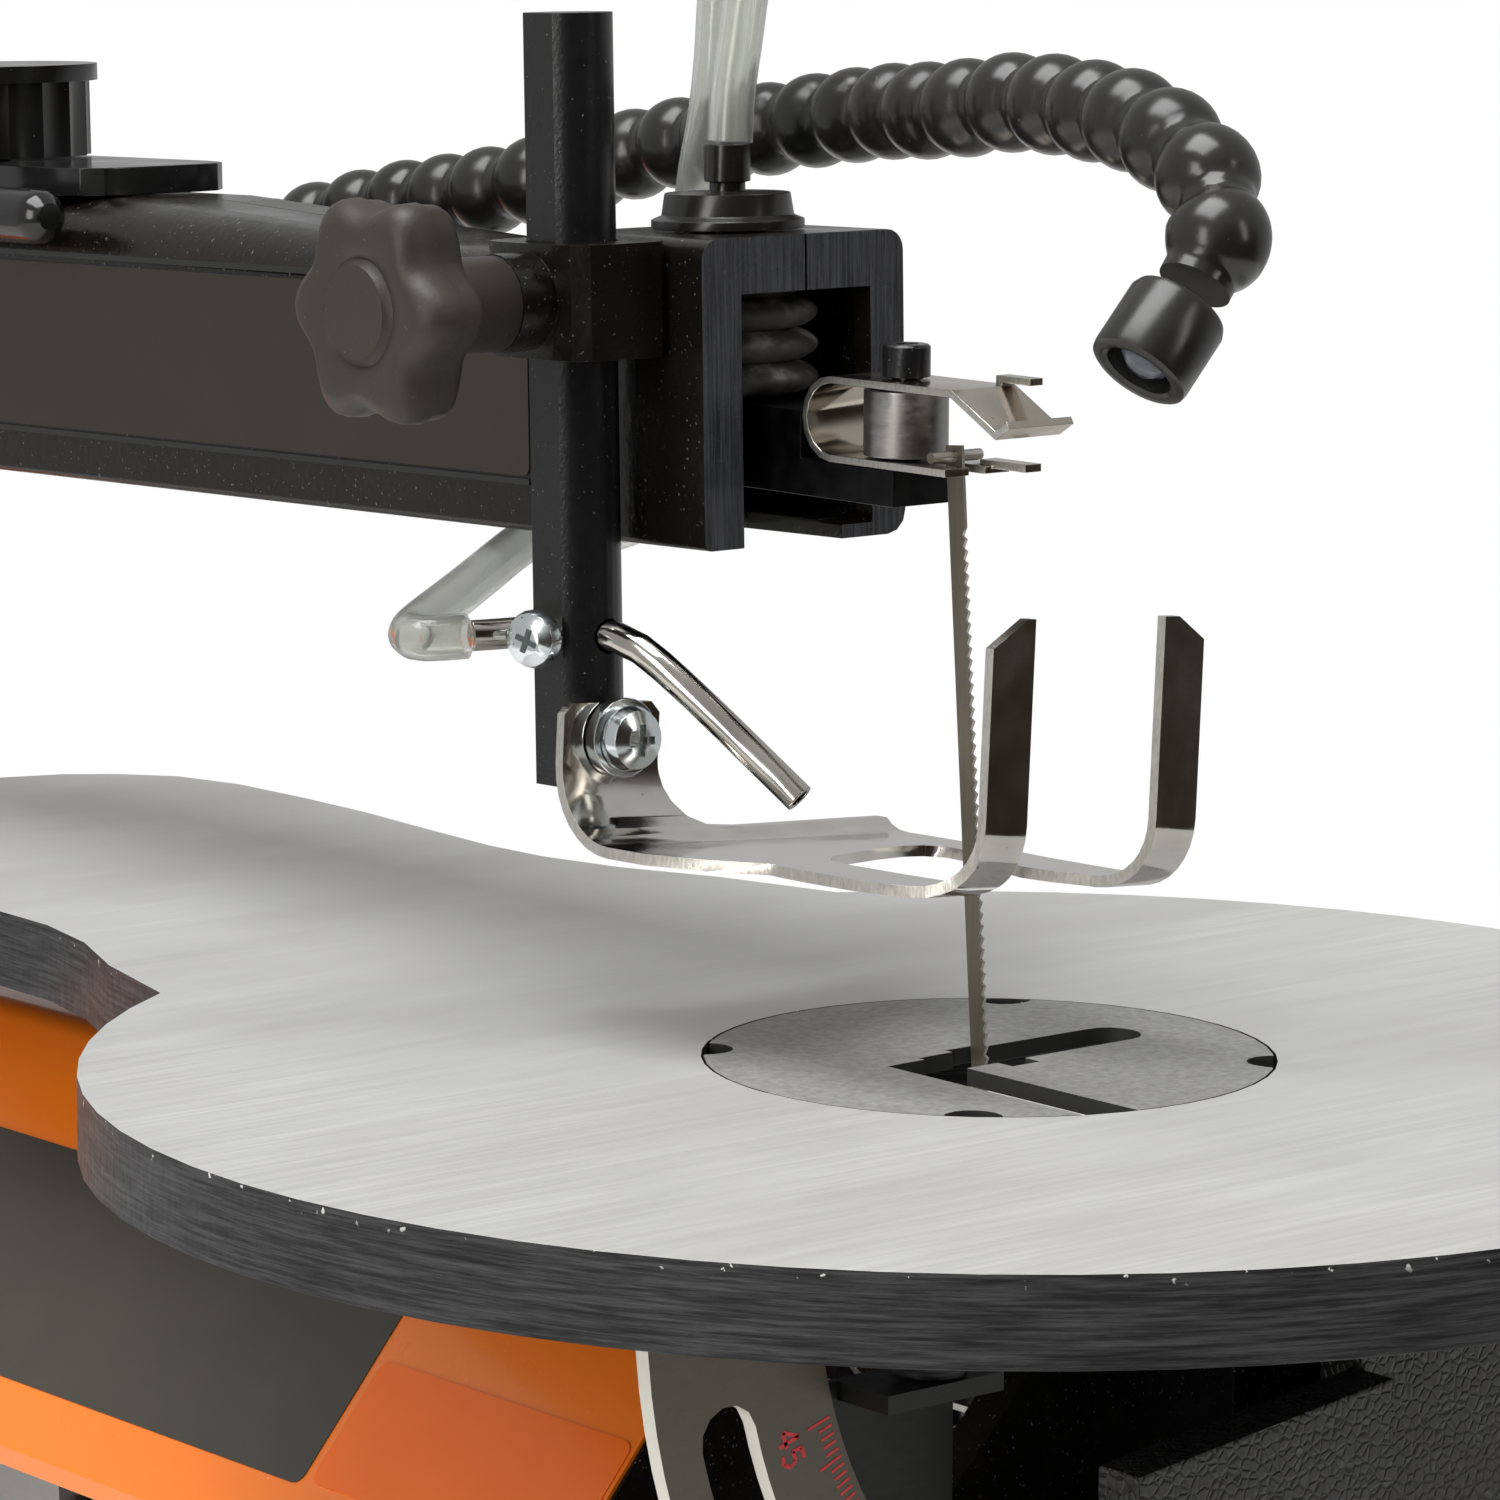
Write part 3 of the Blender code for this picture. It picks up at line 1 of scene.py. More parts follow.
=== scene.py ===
"""Looks of the scroll saw: camera, light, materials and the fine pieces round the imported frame."""

import math

import bpy
import bmesh
from mathutils import Matrix, Vector


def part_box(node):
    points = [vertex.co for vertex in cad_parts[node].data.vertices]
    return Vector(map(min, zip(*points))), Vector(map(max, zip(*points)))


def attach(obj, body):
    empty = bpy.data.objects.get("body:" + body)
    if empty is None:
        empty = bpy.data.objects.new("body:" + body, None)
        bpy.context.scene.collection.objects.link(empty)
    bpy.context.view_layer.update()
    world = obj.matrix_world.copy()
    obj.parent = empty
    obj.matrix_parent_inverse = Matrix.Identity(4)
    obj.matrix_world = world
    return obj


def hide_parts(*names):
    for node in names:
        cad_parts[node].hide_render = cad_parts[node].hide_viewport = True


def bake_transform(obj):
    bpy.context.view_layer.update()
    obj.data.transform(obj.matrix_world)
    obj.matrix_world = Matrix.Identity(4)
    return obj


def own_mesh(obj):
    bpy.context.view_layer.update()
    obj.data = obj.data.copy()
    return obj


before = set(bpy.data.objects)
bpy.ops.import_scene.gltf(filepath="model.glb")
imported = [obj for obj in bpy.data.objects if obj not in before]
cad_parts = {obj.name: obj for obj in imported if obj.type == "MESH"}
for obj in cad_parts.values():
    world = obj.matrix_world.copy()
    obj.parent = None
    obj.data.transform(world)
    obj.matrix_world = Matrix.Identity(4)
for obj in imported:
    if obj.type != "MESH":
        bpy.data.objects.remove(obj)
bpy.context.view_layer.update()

# Sizes are in millimetres of the saw's own frame: x runs right, y back from the blade, z up.

MM = 0.001
BLADE_Y = -206.5
TABLE_TOP = 205.0
TILT_AXIS_Z = 193.0
ARM_PITCH = math.radians(1.5)
ARM_FRONT = (39.4, TABLE_TOP + 68.4)
ARM_SIDE = -19.22
ARM_PANEL_BACK = -402
ARM_PANEL_FRONT = -40
MILLED_BAND = ((BLADE_Y + 42.5) * MM, (BLADE_Y + 41.0) * MM)
RIM_BAND = ((TABLE_TOP - 2.2) * MM, (TABLE_TOP - 0.4) * MM)

# The camera, in metres of the row frame; its lens is in millimetres.

CAMERA_PLACE = Vector((-0.5662, -0.8324, 0.3831))
CAMERA_RIGHT = Vector((0.7681, -0.6403, 0.0039)).normalized()
CAMERA_UP = Vector((0.0983, 0.1239, 0.9874)).normalized()
CAMERA_LENS = 147.6

HOSE_RADIUS = 3.3
HOSE_BORE = 2.45
HOSE_STEP = 2.0
HOSE_ROUTE = [
    (0, 57.5, 329.6), (0.8, 57.8, 337.0), (2.8, 58.3, 346.0), (6.0, 59.8, 359.0),
    (10.0, 64.0, 370.5), (14.4, 71.0, 374.0), (17.0, 77.5, 367.0), (17.3, 80.5, 353.0),
    (16.7, 81.0, 340.0), (16.6, 82.2, 332.0), (17.8, 86.0, 323.5), (19.8, 89.3, 317.4),
    (22.8, 92.4, 310.5), (24.6, 95.5, 302.0), (25.0, 99.0, 289.0), (24.6, 101.6, 278.0),
    (22.4, 103.0, 270.6), (16.0, 103.8, 267.8), (7.0, 104.0, 267.9), (-0.5, 102.6, 267.8),
    (-5.6, 100.0, 267.4), (-20.1, 90.0, 265.2), (-31.6, 82.0, 263.5), (-41.4, 76.0, 261.7),
    (-45.7, 73.0, 260.9), (-47.9, 70.0, 260.6), (-47.1, 67.4, 260.5), (-41.9, 65.45, 260.6),
]

KNOB_LOBES = 6
KNOB_STEPS = 16
KNOB_RADIUS = 15.2
KNOB_WAVE = 1.7
KNOB_FADE = 8.0

NECK_PITCH = 12.0
NECK_BALL = 7.0
NECK_COLLAR = 5.0
NECK_BALL_SHARE = 0.82
NECK_SAMPLES = 20
NECK_LOWER = [(26.6, 213, 303.5), (27.6, 196, 308.5), (28.5, 175.5, 312.7), (27.7, 157, 315.3),
              (27.2, 142, 317.8), (29, 128, 321), (29.9, 119.6, 322.9)]
NECK_UPPER = [(29.8, 121.0, 322.6), (29.6, 110, 325.2), (28.7, 99, 326.8), (27.4, 83.6, 329),
              (26, 67, 331.5), (21.5, 47, 333.7), (16, 28, 335), (12.4, 9, 337), (7.7, -9, 337),
              (2.2, -26, 336), (-2, -39, 333), (-5, -47.6, 328.7), (-8.4, -52.2, 323.3),
              (-13.4, -52.9, 317.0)]

SPLINE_STEPS = 24
SHARP_ANGLE = 32.0
COARSE_SHARP_ANGLE = 50.0

# The degree scale on the bevel plate: radii round the tilt axis, and the first tick's angle.

PLATE_FACE = -41.3
WEB_RADIUS = 66.0
FIRST_TICK = 197.5
TICK_INNER = 67.6
TICK_OUTER = 69.8
LONG_TICK_OUTER = 71.4
TICK_HALF_WIDTH = 0.18
NUMBER_RADIUS = 74.8
NUMBER_HEIGHT = 3.4
NUMBER_WIDTH = 0.86 * NUMBER_HEIGHT
NUMBER_HALF_STROKE = 0.28

# The housing's sloping side, and the floor in metres.

LABEL_RUN = 44.27
LABEL_RISE = 52.2
FLOOR_RADIUS = 0.85
FLOOR_SIDES = 96


# Places and meshes

def saw(point):
    """A point of the saw's own frame, in millimetres, as a place in the row frame."""
    x, y, z = point
    return Vector((x * MM, (y + BLADE_Y) * MM, z * MM))


def arm(point):
    """A point of the pitched arm's frame, in millimetres, as a place in the row frame."""
    x, v, w = point
    y = ARM_FRONT[0] + v * math.cos(ARM_PITCH) + w * math.sin(ARM_PITCH)
    z = ARM_FRONT[1] - v * math.sin(ARM_PITCH) + w * math.cos(ARM_PITCH)
    return saw((x, y, z))


def smooth_path(points):
    """A Catmull-Rom curve through the points."""
    line = [Vector(point) for point in points]
    line = [2 * line[0] - line[1]] + line + [2 * line[-1] - line[-2]]
    path = []
    for index in range(1, len(line) - 2):
        a, b, c, d = line[index - 1:index + 3]
        for step in range(SPLINE_STEPS):
            t = step / SPLINE_STEPS
            path.append(0.5 * (2 * b + (c - a) * t + (2 * a - 5 * b + 4 * c - d) * t ** 2
                               + (3 * b - a - 3 * c + d) * t ** 3))
    return path + [line[-2]]


def even_path(points, spacing):
    """Points an even distance apart on the smooth curve."""
    fine = smooth_path(points)
    travelled = [0.0]
    for a, b in zip(fine, fine[1:]):
        travelled.append(travelled[-1] + (b - a).length)
    count = max(2, round(travelled[-1] / spacing))
    result = []
    index = 0
    for step in range(count + 1):
        target = travelled[-1] * step / count
        while index < len(fine) - 2 and travelled[index + 1] < target:
            index += 1
        span = travelled[index + 1] - travelled[index]
        share = 0.0 if span == 0 else (target - travelled[index]) / span
        result.append(fine[index].lerp(fine[index + 1], min(1.0, share)))
    return result


def path_frames(path):
    """For each point of a path, two directions square to it that don't twist."""
    frames = []
    side = None
    for index, point in enumerate(path):
        ahead = path[min(index + 1, len(path) - 1)] - path[max(index - 1, 0)]
        ahead.normalize()
        if side is None:
            side = ahead.orthogonal()
        side = (side - ahead * side.dot(ahead)).normalized()
        frames.append((side.copy(), ahead.cross(side)))
    return frames


def tube_rings(mesh, path, radii, sides):
    """Round rings along a path, joined into an open tube."""
    rings = []
    for point, radius, (side, other) in zip(path, radii, path_frames(path)):
        ring = []
        for step in range(sides):
            angle = 2 * math.pi * step / sides
            place = point + radius * (math.cos(angle) * side + math.sin(angle) * other)
            ring.append(mesh.verts.new(place))
        rings.append(ring)
    for first, second in zip(rings, rings[1:]):
        join_rings(mesh, first, second)
    return rings


def join_rings(mesh, first, second):
    """A band of four-sided faces between two rings of the same count."""
    count = len(first)
    for step in range(count):
        after = (step + 1) % count
        mesh.faces.new((first[step], first[after], second[after], second[step]))


def solid_sweep(path, radii, sides):
    """A closed round bar along a path."""
    mesh = bmesh.new()
    rings = tube_rings(mesh, path, radii, sides)
    mesh.faces.new(rings[0][::-1])
    mesh.faces.new(rings[-1])
    return mesh


def hollow_tube(path, outer, inner, sides):
    """A tube with a real wall and open ends."""
    mesh = bmesh.new()
    skin = tube_rings(mesh, path, [outer] * len(path), sides)
    bore = tube_rings(mesh, path, [inner] * len(path), sides)
    join_rings(mesh, bore[0], skin[0])
    join_rings(mesh, skin[-1], bore[-1])
    return mesh


def turned(profile, sides):
    """A closed body turned about Z from (radius, height) points, first and last on the axis."""
    mesh = bmesh.new()
    rings = []
    for radius, height in profile[1:-1]:
        ring = []
        for step in range(sides):
            angle = 2 * math.pi * step / sides
            ring.append(mesh.verts.new((radius * math.cos(angle), radius * math.sin(angle), height)))
        rings.append(ring)
    for first, second in zip(rings, rings[1:]):
        join_rings(mesh, first, second)
    for ring, (_, height) in ((rings[0], profile[0]), (rings[-1], profile[-1])):
        centre = mesh.verts.new((0, 0, height))
        for step in range(sides):
            mesh.faces.new((ring[step], ring[(step + 1) % sides], centre))
    return mesh


def slab(outline, thick):
    """A closed plate with its outline in XY and its thickness up Z."""
    mesh = bmesh.new()
    low = [mesh.verts.new((x, y, 0.0)) for x, y in outline]
    high = [mesh.verts.new((x, y, thick)) for x, y in outline]
    mesh.faces.new(low[::-1])
    mesh.faces.new(high)
    join_rings(mesh, low, high)
    return mesh


def merge(target, part):
    """Adds one bmesh's bodies to another."""
    holder = bpy.data.meshes.new("part")
    part.to_mesh(holder)
    part.free()
    target.from_mesh(holder)
    bpy.data.meshes.remove(holder)


def rounded(a0, b0, a1, b1, radius, steps=4):
    """The outline of a rectangle with round corners."""
    corners = [(a1 - radius, b0 + radius, -90), (a1 - radius, b1 - radius, 0),
               (a0 + radius, b1 - radius, 90), (a0 + radius, b0 + radius, 180)]
    points = []
    for a, b, start in corners:
        for step in range(steps + 1):
            angle = math.radians(start + 90 * step / steps)
            points.append((a + radius * math.cos(angle), b + radius * math.sin(angle)))
    return points


def place_piece(name, mesh, material, body, matrix=None, smooth=30.0):
    """Makes a piece from a bmesh in millimetres of the row frame, and lets it ride on a body."""
    if matrix is not None:
        bmesh.ops.transform(mesh, matrix=matrix, verts=mesh.verts[:])
    bmesh.ops.recalc_face_normals(mesh, faces=mesh.faces[:])
    data = bpy.data.meshes.new(name)
    mesh.to_mesh(data)
    mesh.free()
    data.transform(Matrix.Scale(MM, 4))
    data.shade_smooth()
    data.set_sharp_from_angle(angle=math.radians(smooth))
    data.materials.append(material)
    piece = bpy.data.objects.new(name, data)
    bpy.context.scene.collection.objects.link(piece)
    if body:
        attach(piece, body)
    return piece


def to_saw(point):
    """Where a point of the saw's own frame lies, in millimetres of the row frame."""
    return Vector(saw(point)) / MM


def to_arm(point):
    """Where a point of the pitched arm's frame lies, in millimetres of the row frame."""
    return Vector(arm(point)) / MM


def turn_to(axis, place):
    """Stands a body that was made about Z on a place, pointing along an axis."""
    turn = Vector((0, 0, 1)).rotation_difference(Vector(axis)).to_matrix().to_4x4()
    return Matrix.Translation(place) @ turn


def smoothing():
    """A modifier group that shades a mesh smooth except across edges sharper than a limit."""
    group = bpy.data.node_groups.new("smooth_by_angle", "GeometryNodeTree")
    group.interface.new_socket("Geometry", in_out="INPUT", socket_type="NodeSocketGeometry")
    limit = group.interface.new_socket("Limit", in_out="INPUT", socket_type="NodeSocketFloat")
    group.interface.new_socket("Geometry", in_out="OUTPUT", socket_type="NodeSocketGeometry")
    start = group.nodes.new("NodeGroupInput")
    end = group.nodes.new("NodeGroupOutput")
    faces = group.nodes.new("GeometryNodeSetShadeSmooth")
    faces.domain = "FACE"
    edges = group.nodes.new("GeometryNodeSetShadeSmooth")
    edges.domain = "EDGE"
    edges.inputs["Shade Smooth"].default_value = False
    angle = group.nodes.new("GeometryNodeInputMeshEdgeAngle")
    sharper = group.nodes.new("FunctionNodeCompare")
    sharper.operation = "GREATER_THAN"
    group.links.new(start.outputs["Geometry"], faces.inputs["Geometry"])
    group.links.new(faces.outputs["Geometry"], edges.inputs["Geometry"])
    group.links.new(angle.outputs["Unsigned Angle"], sharper.inputs[0])
    group.links.new(start.outputs["Limit"], sharper.inputs[1])
    group.links.new(sharper.outputs["Result"], edges.inputs["Selection"])
    group.links.new(edges.outputs["Geometry"], end.inputs["Geometry"])
    return group, limit.identifier


def soften(node, width, group, limit, angle):
    """Rounds a CAD node's edges and smooths its round faces, through modifiers alone."""
    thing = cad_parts[node]
    weld = thing.modifiers.new("weld", "WELD")
    weld.merge_threshold = 0.00001
    if width:
        bevel = thing.modifiers.new("edges", "BEVEL")
        bevel.width = width * MM
        bevel.segments = 2
        bevel.limit_method = "ANGLE"
        bevel.angle_limit = math.radians(angle)
        bevel.use_clamp_overlap = True
    smooth = thing.modifiers.new("smooth", "NODES")
    smooth.node_group = group
    smooth[limit] = math.radians(angle + 2.0)
    weighted = thing.modifiers.new("weighted", "WEIGHTED_NORMAL")
    weighted.keep_sharp = True


# Camera and hose

def make_camera():
    """A long lens from the saw's front left, a little above its arm."""
    back = CAMERA_RIGHT.cross(CAMERA_UP)
    data = bpy.data.cameras.new("camera")
    data.lens = CAMERA_LENS
    data.sensor_width = 36.0
    data.clip_end = 20.0
    camera = bpy.data.objects.new("camera", data)
    turn = Matrix((CAMERA_RIGHT, CAMERA_UP, back)).transposed().to_4x4()
    camera.matrix_world = Matrix.Translation(CAMERA_PLACE) @ turn
    bpy.context.scene.collection.objects.link(camera)
    bpy.context.scene.camera = camera


def path_length(path):
    return sum((b - a).length for a, b in zip(path, path[1:]))


def make_hose():
    """The clear hose from the bellows' barb round to the blower tube."""
    path = [to_saw(point) for point in even_path(HOSE_ROUTE, HOSE_STEP)]
    mesh = hollow_tube(path, HOSE_RADIUS, HOSE_BORE, sides=20)
    piece = place_piece("clear_air_hose", mesh, clear_tube(), None)
    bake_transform(piece)
    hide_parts("air_hose")


# Materials

def colour_sockets(sockets):
    return [entry for entry in sockets if entry.type == "RGBA"]


class Nodes:
    """A material's node tree, with the few nodes that the looks below are made of."""

    def __init__(self, name):
        self.material = bpy.data.materials.new(name)
        self.material.use_nodes = True
        self.tree = self.material.node_tree
        self.shader = self.tree.nodes["Principled BSDF"]
        self.coordinates = self.tree.nodes.new("ShaderNodeTexCoord")

    def link(self, source, target):
        self.tree.links.new(source, target)

    def stretched(self, scale):
        node = self.tree.nodes.new("ShaderNodeMapping")
        node.inputs["Scale"].default_value = scale
        self.link(self.coordinates.outputs["Object"], node.inputs["Vector"])
        return node.outputs["Vector"]

    def noise(self, scale, detail=3.0, stretch=(1, 1, 1), rough=0.5):
        node = self.tree.nodes.new("ShaderNodeTexNoise")
        node.inputs["Scale"].default_value = scale
        node.inputs["Detail"].default_value = detail
        node.inputs["Roughness"].default_value = rough
        self.link(self.stretched(stretch), node.inputs["Vector"])
        return node.outputs["Fac"]

    def cells(self, scale):
        node = self.tree.nodes.new("ShaderNodeTexVoronoi")
        node.feature = "DISTANCE_TO_EDGE"
        node.inputs["Scale"].default_value = scale
        self.link(self.stretched((1, 1, 1)), node.inputs["Vector"])
        return node.outputs["Distance"]

    def ranged(self, value, low, high, out_low=0.0, out_high=1.0):
        node = self.tree.nodes.new("ShaderNodeMapRange")
        node.interpolation_type = "SMOOTHSTEP"
        self.link(value, node.inputs["Value"])
        limits = {"From Min": low, "From Max": high, "To Min": out_low, "To Max": out_high}
        for label, number in limits.items():
            node.inputs[label].default_value = number
        return node.outputs["Result"]

    def maths(self, operation, first, second=0.0):
        node = self.tree.nodes.new("ShaderNodeMath")
        node.operation = operation
        for socket, value in zip(node.inputs, (first, second)):
            if isinstance(value, (int, float)):
                socket.default_value = value
            else:
                self.link(value, socket)
        return node.outputs["Value"]

    def facing(self, axis):
        """How far the surface faces along an axis of the object, from -1 to 1."""
        node = self.tree.nodes.new("ShaderNodeVectorMath")
        node.operation = "DOT_PRODUCT"
        node.inputs[1].default_value = axis
        self.link(self.coordinates.outputs["Normal"], node.inputs[0])
        return node.outputs["Value"]

    def position(self, axis):
        node = self.tree.nodes.new("ShaderNodeSeparateXYZ")
        self.link(self.coordinates.outputs["Object"], node.inputs["Vector"])
        return node.outputs[axis]

    def mix(self, share, first, second):
        node = self.tree.nodes.new("ShaderNodeMix")
        node.data_type = "RGBA"
        self.link(share, node.inputs["Factor"])
        for socket, value in zip(colour_sockets(node.inputs), (first, second)):
            if isinstance(value, tuple):
                socket.default_value = (*value, 1.0)
            else:
                self.link(value, socket)
        return colour_sockets(node.outputs)[0]

    def bump(self, height, strength, distance):
        """Adds a relief, in millimetres, on top of any that the shader already has."""
        node = self.tree.nodes.new("ShaderNodeBump")
        node.inputs["Strength"].default_value = strength
        node.inputs["Distance"].default_value = distance * MM
        self.link(height, node.inputs["Height"])
        last = self.shader.inputs["Normal"].links
        if last:
            self.link(last[0].from_socket, node.inputs["Normal"])
        self.link(node.outputs["Normal"], self.shader.inputs["Normal"])

    def set(self, **values):
        """Fills the shader's inputs, named with underscores, and gives back the material."""
        for label, value in values.items():
            socket = self.shader.inputs[label.replace("_", " ")]
            if isinstance(value, tuple):
                socket.default_value = (*value, 1.0)
            elif isinstance(value, (int, float)):
                socket.default_value = value
            else:
                self.link(value, socket)
        return self.material


def speckled(nodes, base, speck, scale, share):
    """A colour with tiny specks of another, such as dust."""
    dots = nodes.ranged(nodes.noise(scale, 2.0), share, share + 0.05)
    return nodes.mix(dots, base, speck)


def black_paint(milled=False):
    """Satin black paint on a casting; the arm's end face carries upright milling marks."""
    nodes = Nodes("satin_black_milled" if milled else "satin_black_paint")
    tone = nodes.mix(nodes.noise(60, 4.0), (0.0035, 0.0030, 0.0025), (0.0080, 0.0066, 0.0050))
    tone = nodes.mix(nodes.ranged(nodes.noise(1500, 1.0), 0.70, 0.76), tone, (0.10, 0.095, 0.09))
    rough = nodes.ranged(nodes.noise(90, 3.0), 0.3, 0.7, 0.20, 0.30)
    nodes.bump(nodes.noise(620, 3.0), 0.30, 0.26)
    if milled:
        front = nodes.ranged(nodes.facing((0, -1, 0)), 0.90, 0.99)
        end = nodes.ranged(nodes.position("Y"), *MILLED_BAND)
        front = nodes.maths("MULTIPLY", front, end)
        marks = nodes.noise(260, 6.0, (8.0, 1.0, 0.22), 0.75)
        lined = nodes.mix(nodes.ranged(marks, 0.35, 0.65), (0.006, 0.007, 0.009), (0.070, 0.074, 0.085))
        tone = nodes.mix(front, tone, lined)
        nodes.bump(nodes.maths("MULTIPLY", front, marks), 1.0, 0.6)
    return nodes.set(Base_Color=tone, Roughness=rough, Specular_IOR_Level=0.34)


def orange_paint():
    nodes = Nodes("gloss_orange_paint")
    tone = nodes.mix(nodes.noise(14, 4.0), (0.93, 0.185, 0.004), (1.0, 0.225, 0.008))
    tone = speckled(nodes, tone, (0.93, 0.42, 0.20), 1700, 0.72)
    nodes.bump(nodes.noise(700, 2.0), 0.12, 0.12)
    rough = nodes.ranged(nodes.noise(40, 4.0), 0.3, 0.7, 0.26, 0.36)
    return nodes.set(Base_Color=tone, Roughness=rough, Coat_Weight=0.5, Coat_Roughness=0.12)


def table_metal():
    """Ground cast table: pale with fine streaks on top, dark with painted shade and nicked along its
    turned edge.
    """
    nodes = Nodes("ground_table")
    top = nodes.ranged(nodes.facing((0, 0, 1)), 0.80, 0.97)
    fine = nodes.noise(260, 6.0, (0.10, 3.2, 1.0), 0.7)
    broad = nodes.noise(22, 5.0, (0.6, 1.4, 1.0))
    pale = nodes.mix(fine, (0.44, 0.44, 0.43), (0.66, 0.66, 0.65))
    pale = nodes.mix(nodes.ranged(broad, 0.35, 0.7, 0.0, 0.45), pale, (0.40, 0.395, 0.385))
    ring = nodes.noise(520, 6.0, (0.12, 0.12, 3.4), 0.75)
    # The turned edge's near-black tone is painted shade; the turning marks in it and the bright nicks
    # along the rim are the metal's own.
    edge = nodes.mix(nodes.ranged(ring, 0.35, 0.7), (0.012, 0.012, 0.0125), (0.075, 0.075, 0.078))
    rim = nodes.ranged(nodes.position("Z"), *RIM_BAND)
    nick = nodes.ranged(nodes.noise(620, 3.0), 0.67, 0.70)
    edge = nodes.mix(nodes.maths("MULTIPLY", rim, nick), edge, (0.80, 0.79, 0.77))
    tone = nodes.mix(top, edge, pale)
    nodes.bump(fine, 0.20, 0.10)
    nodes.bump(ring, 0.25, 0.12)
    rough = nodes.maths("ADD", nodes.ranged(fine, 0.3, 0.7, 0.36, 0.48), 0.05)
    return nodes.set(Base_Color=tone, Roughness=rough, Metallic=0.35, Specular_IOR_Level=0.3)


def cast_insert():
    """The table's insert: a speckled grey face with darker sides of painted shade."""
    nodes = Nodes("speckled_insert")
    tone = nodes.mix(nodes.noise(900, 4.0), (0.13, 0.13, 0.127), (0.40, 0.40, 0.39))
    # The sides are painted shade: near black where they sit in the table's recess.
    flat = nodes.ranged(nodes.facing((0, 0, 1)), 0.6, 0.85)
    tone = nodes.mix(flat, (0.022, 0.022, 0.022), tone)
    nodes.bump(nodes.noise(1100, 3.0), 0.5, 0.15)
    return nodes.set(Base_Color=tone, Roughness=0.6, Metallic=0.2)


def bare_steel(name, low, high, stretch, rough):
    nodes = Nodes(name)
    streak = nodes.noise(300, 5.0, stretch, 0.65)
    tone = nodes.mix(streak, low, high)
    nodes.bump(streak, 0.25, 0.08)
    uneven = nodes.ranged(streak, 0.3, 0.7, rough, rough + 0.14)
    return nodes.set(Base_Color=tone, Roughness=uneven, Metallic=1.0)


def scale_plate():
    """The bevel plate: brown bare steel with bright sheared edges, and its dark mounting web."""
    nodes = Nodes("scale_plate")
    streak = nodes.noise(300, 5.0, (1, 1, 3), 0.65)
    tone = nodes.mix(streak, (0.085, 0.073, 0.055), (0.15, 0.132, 0.105))
    drop = nodes.maths("SUBTRACT", nodes.position("Z"), TILT_AXIS_Z * MM)
    across = nodes.position("X")
    squares = [nodes.maths("MULTIPLY", value, value) for value in (across, drop)]
    reach = nodes.maths("SQRT", nodes.maths("ADD", *squares))
    web = nodes.ranged(reach, (WEB_RADIUS + 0.2) * MM, (WEB_RADIUS - 0.2) * MM)
    face = nodes.ranged(nodes.maths("ABSOLUTE", nodes.facing((0, 1, 0))), 0.55, 0.85)
    tone = nodes.mix(face, (0.66, 0.64, 0.58), tone)
    tone = nodes.mix(web, tone, (0.010, 0.010, 0.010))
    nodes.bump(streak, 0.25, 0.08)
    rough = nodes.ranged(streak, 0.3, 0.7, 0.36, 0.48)
    return nodes.set(Base_Color=tone, Roughness=rough, Metallic=0.25)


def blade_steel():
    """Brown tempered steel that is paler where it faces forward, along the teeth."""
    nodes = Nodes("tempered_blade")
    streak = nodes.noise(500, 5.0, (2.0, 2.0, 0.15), 0.6)
    tone = nodes.mix(streak, (0.13, 0.115, 0.09), (0.26, 0.235, 0.19))
    tooth = nodes.ranged(nodes.facing((0, -1, 0)), 0.2, 0.7)
    tone = nodes.mix(tooth, tone, (0.62, 0.60, 0.56))
    return nodes.set(Base_Color=tone, Roughness=0.38, Metallic=0.9)


def bright_plate(name, low, high, rough, edge_rough, scratch=0.10, sheet=True):
    """Bright plate with soft mottling; the sheared edges of a sheet are duller and lined."""
    nodes = Nodes(name)
    cloud = nodes.noise(130, 4.0)
    tone = nodes.mix(cloud, low, high)
    tone = speckled(nodes, tone, (0.12, 0.10, 0.08), 1300, 0.735)
    nodes.bump(nodes.noise(210, 3.0), scratch, 0.25)
    plain = nodes.ranged(cloud, 0.3, 0.75, rough, rough + 0.10)
    if not sheet:
        return nodes.set(Base_Color=tone, Roughness=plain, Metallic=1.0)
    sheared = nodes.ranged(nodes.maths("ABSOLUTE", nodes.facing((1, 0, 0))), 0.80, 0.93)
    grain = nodes.noise(1500, 3.0, (1.0, 1.6, 0.5))
    tone = nodes.mix(sheared, tone, nodes.mix(grain, (0.42, 0.40, 0.36), (0.86, 0.84, 0.78)))
    nodes.bump(nodes.maths("MULTIPLY", sheared, grain), 0.5, 0.10)
    worn = nodes.maths("MULTIPLY", sheared, edge_rough)
    return nodes.set(Base_Color=tone, Roughness=nodes.maths("ADD", plain, worn), Metallic=1.0)


def black_oxide():
    nodes = Nodes("black_oxide")
    tone = nodes.mix(nodes.noise(500, 4.0), (0.005, 0.005, 0.006), (0.013, 0.013, 0.014))
    tone = speckled(nodes, tone, (0.22, 0.21, 0.20), 1800, 0.71)
    nodes.bump(nodes.noise(1500, 3.0), 0.35, 0.12)
    return nodes.set(Base_Color=tone, Roughness=0.26, Specular_IOR_Level=0.42)


def moulded(name, low, high, rough, grain=1100, depth=0.25):
    """Moulded plastic with a fine surface grain and faint clouding."""
    nodes = Nodes(name)
    tone = nodes.mix(nodes.noise(45, 4.0), low, high)
    tone = speckled(nodes, tone, tuple(min(1.0, 5 * part + 0.03) for part in high), 1600, 0.735)
    nodes.bump(nodes.noise(grain, 2.0), depth, 0.10)
    uneven = nodes.ranged(nodes.noise(70, 3.0), 0.3, 0.7, rough - 0.04, rough + 0.06)
    return nodes.set(Base_Color=tone, Roughness=uneven)


